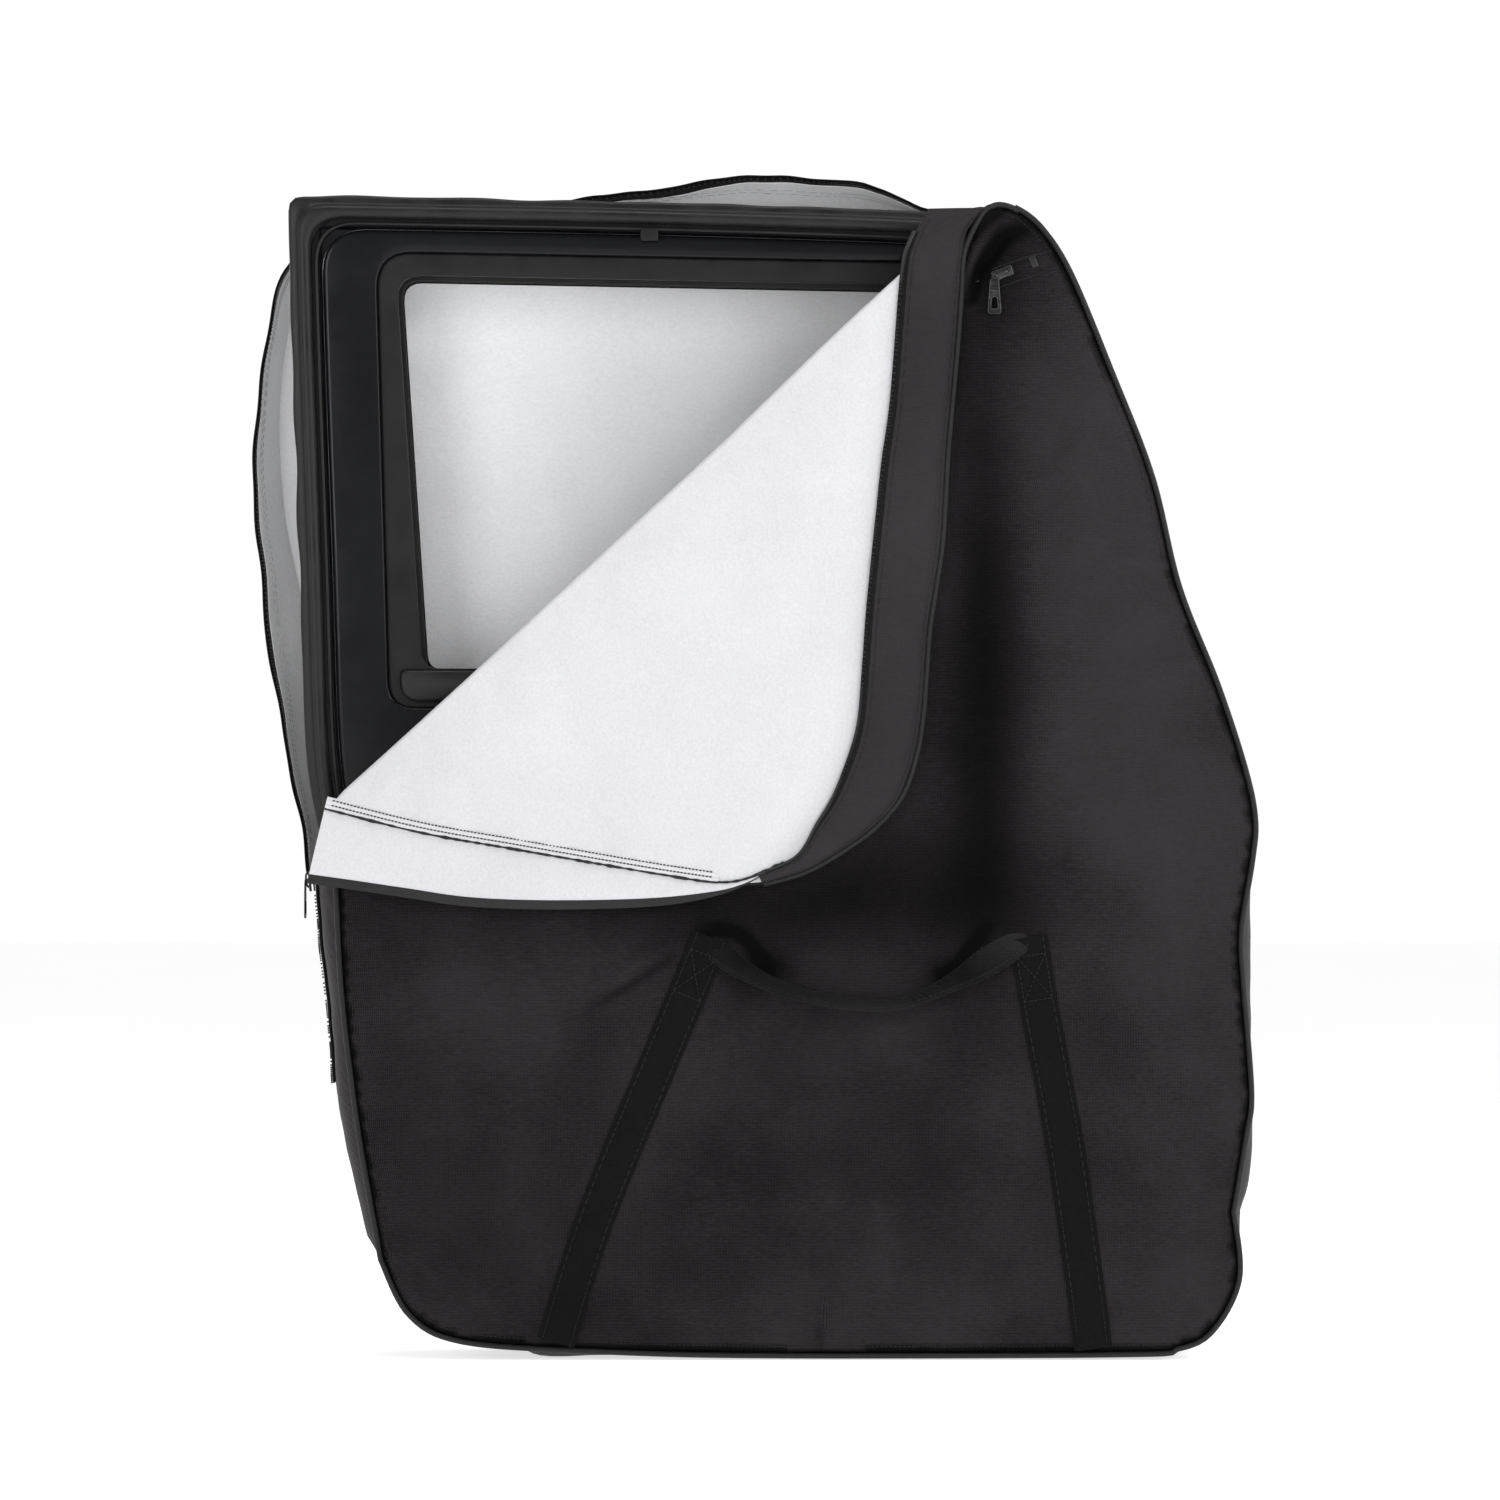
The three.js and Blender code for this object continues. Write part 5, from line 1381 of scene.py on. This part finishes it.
piece(swept("door_seal", rings), "bag", RUBBER, ("door_seal_lip", "door_seal_bulb"), 60)
trim_low, trim_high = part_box("door_seal_trim")
trim_ring = eased_corner(deep_inset(door_ring, 27.3 * MM, 400), 34 * MM)
trim_path = lift(trim_ring, (trim_low.y + trim_high.y) / 2)
piece(tube("door_seal_bead", trim_path, 1.8 * MM, 10, True), "bag", RUBBER, "door_seal_trim")

# The pressed frame: a return wall from the flange, the face, the step and the sloping reveal.
face_ring = eased_corner(deep_inset(door_ring, 38.5 * MM, 360), 36 * MM)
step_ring = resample(rounded(STEP, 12), 240, True)
opening_ring = resample(rounded(OPENING, 12), 200, True)


def bands(base, levels):
    """Quads between copies of a ring at (distance outward, depth) levels."""
    rings = [lift(inset(base, -d * MM), y * MM) for d, y in levels]
    count = len(base)
    faces = [(k * count + i, k * count + (i + 1) % count, (k + 1) * count + (i + 1) % count,
              (k + 1) * count + i) for k in range(len(levels) - 1) for i in range(count)]
    return mesh_object("part", np.vstack(rings), faces)


def between_rings(outer, inner, y, cell):
    points, faces, _ = flat_cells(outer, cell, [inner])
    return mesh_object("part", lift(points, y * MM), faces)


parts = [
    bands(face_ring, [(5.4, -25.2), (5.4, -28.0), (5.0, -30.2), (3.9, -32.2), (2.2, -33.5), (0.0, -34.0)]),
    between_rings(face_ring, inset(step_ring, -2.6 * MM), -34.0, 40 * MM),
    bands(step_ring, [(2.6, -34.0), (1.2, -33.7), (0.3, -32.8), (0.0, -31.0), (-0.4, -28.2)]),
]
pressed = joined("door_frame", parts)
weld(pressed, 1e-5)
thicken = pressed.modifiers.new("sheet_metal", "SOLIDIFY")
thicken.thickness = 1.2 * MM
thicken.offset = -1
piece(pressed, "bag", PAINT, ("window_frame", "door_inner_panel"), 40)

parts = [
    bands(step_ring, [(-0.6, -26.2), (-0.6, -27.2), (-1.6, -27.9), (-3.0, -28.0)]),
    between_rings(inset(step_ring, 3.0 * MM), inset(opening_ring, -2.5 * MM), -28.0, 60 * MM),
    bands(opening_ring, [(2.5, -28.0), (0.8, -27.6), (0.0, -26.4), (0.0, -16.0), (1.5, -13.0)]),
]
reveal = joined("window_reveal_trim", parts)
weld(reveal, 1e-5)
thicken = reveal.modifiers.new("moulding", "SOLIDIFY")
thicken.thickness = 1.4 * MM
thicken.offset = -1
piece(reveal, "bag", PLASTIC, "window_reveal", 40)

belt_low, belt_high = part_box("belt_weatherstrip")
belt = rounded([(-356, 691, 6), (-356, 658, 22), (322, 658, 8), (309, 691, 6)], 8)
strip_bar = block("belt_bar", resample(belt, 220, True), belt_low.y, -27.6 * MM, 4.5 * MM)
piece(strip_bar, "bag", RUBBER, "belt_weatherstrip", 60)

clip_low, clip_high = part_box("door_trim_clip")
half_x, half_z = (clip_high.x - clip_low.x) / 2, (clip_high.z - clip_low.z) / 2
centre = ((clip_low.x + clip_high.x) / 2, (clip_low.z + clip_high.z) / 2)
ring = np.array([(centre[0] + x * half_x, centre[1] + z * half_z) for x, z in
                 ((-1, -0.6), (-0.9, -1), (0.9, -1), (1, -0.6), (1, 0.6), (0.9, 1), (-0.9, 1), (-1, 0.6))])
piece(block("trim_clip", resample(ring, 40, True), clip_low.y, clip_high.y, 1.2 * MM), "bag",
      PLASTIC, "door_trim_clip")

# Carried-over parts of the door keep their CAD shape and get finished materials.
for node, look in (("door_outer_skin", PAINT), ("door_side_wall", PAINT), ("door_flange", PAINT),
                   ("door_hinge_leaf_upper", PAINT), ("door_hinge_leaf_lower", PAINT),
                   ("door_hinge_pin_upper", STEEL), ("door_hinge_pin_lower", STEEL),
                   ("door_latch", STEEL), ("regulator_rail", STEEL), ("glass_carrier", STEEL),
                   ("window_glass", GLASS), ("glass_run_channel", RUBBER)):
    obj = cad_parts[node]
    for slot_index in range(len(obj.material_slots)):
        obj.material_slots[slot_index].material = look

# ---------------------------------------------------------------- floor, light and camera
FLOOR = 14.0
floor = mesh_object("floor", [(x * FLOOR, y * FLOOR, 0.0) for x, y in ((-1, -1), (1, -1), (1, 1), (-1, 1))],
                    [(0, 1, 2, 3)])
paper = Shader("floor_paper", roughness=0.95, specular_ior_level=0.1, emission_color=(1, 1, 1, 1),
               emission_strength=0.66)
paper.color(paper.noise(3, 2), (0.86, 0.86, 0.86), (0.9, 0.9, 0.9))
floor.data.materials.append(paper.material)

# The room is brightest at floor level and behind the object, and dimmer overhead and in front.
world = bpy.data.worlds.new("studio")
world.use_nodes = True
nodes, links = world.node_tree.nodes, world.node_tree.links
direction = nodes.new("ShaderNodeSeparateXYZ")
links.new(nodes.new("ShaderNodeTexCoord").outputs["Generated"], direction.inputs[0])


def fade(source, low, high, at_low, at_high):
    made = nodes.new("ShaderNodeMapRange")
    links.new(source, made.inputs[0])
    for key, number in (("From Min", low), ("From Max", high), ("To Min", at_low), ("To Max", at_high)):
        made.inputs[key].default_value = number
    return made.outputs[0]


def blended(operation, a, b):
    made = nodes.new("ShaderNodeMath")
    made.operation = operation
    links.new(a, made.inputs[0])
    links.new(b, made.inputs[1])
    return made.outputs[0]


overhead = fade(direction.outputs["Z"], 0.15, 0.5, 1.02, 0.4)
in_front = fade(direction.outputs["Y"], -0.6, 0.5, 0.42, 1.0)
below = fade(direction.outputs["Z"], -0.01, 0.03, 1.0, 0.0)
room = blended("MULTIPLY", overhead, blended("MAXIMUM", in_front, below))
links.new(room, nodes["Background"].inputs["Strength"])
nodes["Background"].inputs["Color"].default_value = (1, 1, 1, 1)
scene.world = world
scene.view_settings.view_transform = "Standard"


def softbox(name, place, target, size, power):
    light = bpy.data.lights.new(name, "AREA")
    light.shape = "RECTANGLE"
    light.size, light.size_y = size
    light.energy = power
    obj = bpy.data.objects.new(name, light)
    obj.location = place
    obj.rotation_euler = (Vector(target) - Vector(place)).to_track_quat("-Z", "Y").to_euler()
    scene.collection.objects.link(obj)


softbox("key", (-2.4, -3.0, 1.5), (0, 0, 0.7), (1.4, 1.6), 30)
softbox("second", (2.2, -2.6, 1.6), (0.0, 0, 0.7), (1.2, 1.6), 12)
softbox("inner", (2.2, -2.5, 2.3), (-0.35, 0.06, 0.8), (0.9, 0.7), 15)
softbox("side", (1.8, -0.9, 1.0), (0.2, 0, 0.7), (0.6, 1.6), 7)
softbox("top", (0, -0.6, 3.4), (0, 0, 0.6), (2.4, 0.6), 27)
softbox("rear", (2.9, 2.0, 1.7), (0, 0.1, 0.6), (0.9, 1.6), 34)
softbox("rear_low", (-2.6, 2.6, 1.2), (0, 0.1, 0.6), (0.9, 1.2), 12)

VIEW_WIDTH = 1.5
CAMERA_BACK = 6.5
VIEW_MIDDLE = Vector((-0.004, FRONT_SKIN, 0.610))
camera = bpy.data.cameras.new("camera")
camera.sensor_width = 36
camera.lens = 36 * CAMERA_BACK / VIEW_WIDTH
camera.clip_end = 60
camera_object = bpy.data.objects.new("camera", camera)
camera_object.location = VIEW_MIDDLE + Vector((0, -CAMERA_BACK, 0))
camera_object.rotation_euler = (VIEW_MIDDLE - camera_object.location).to_track_quat("-Z", "Y").to_euler()
scene.collection.objects.link(camera_object)
scene.camera = camera_object
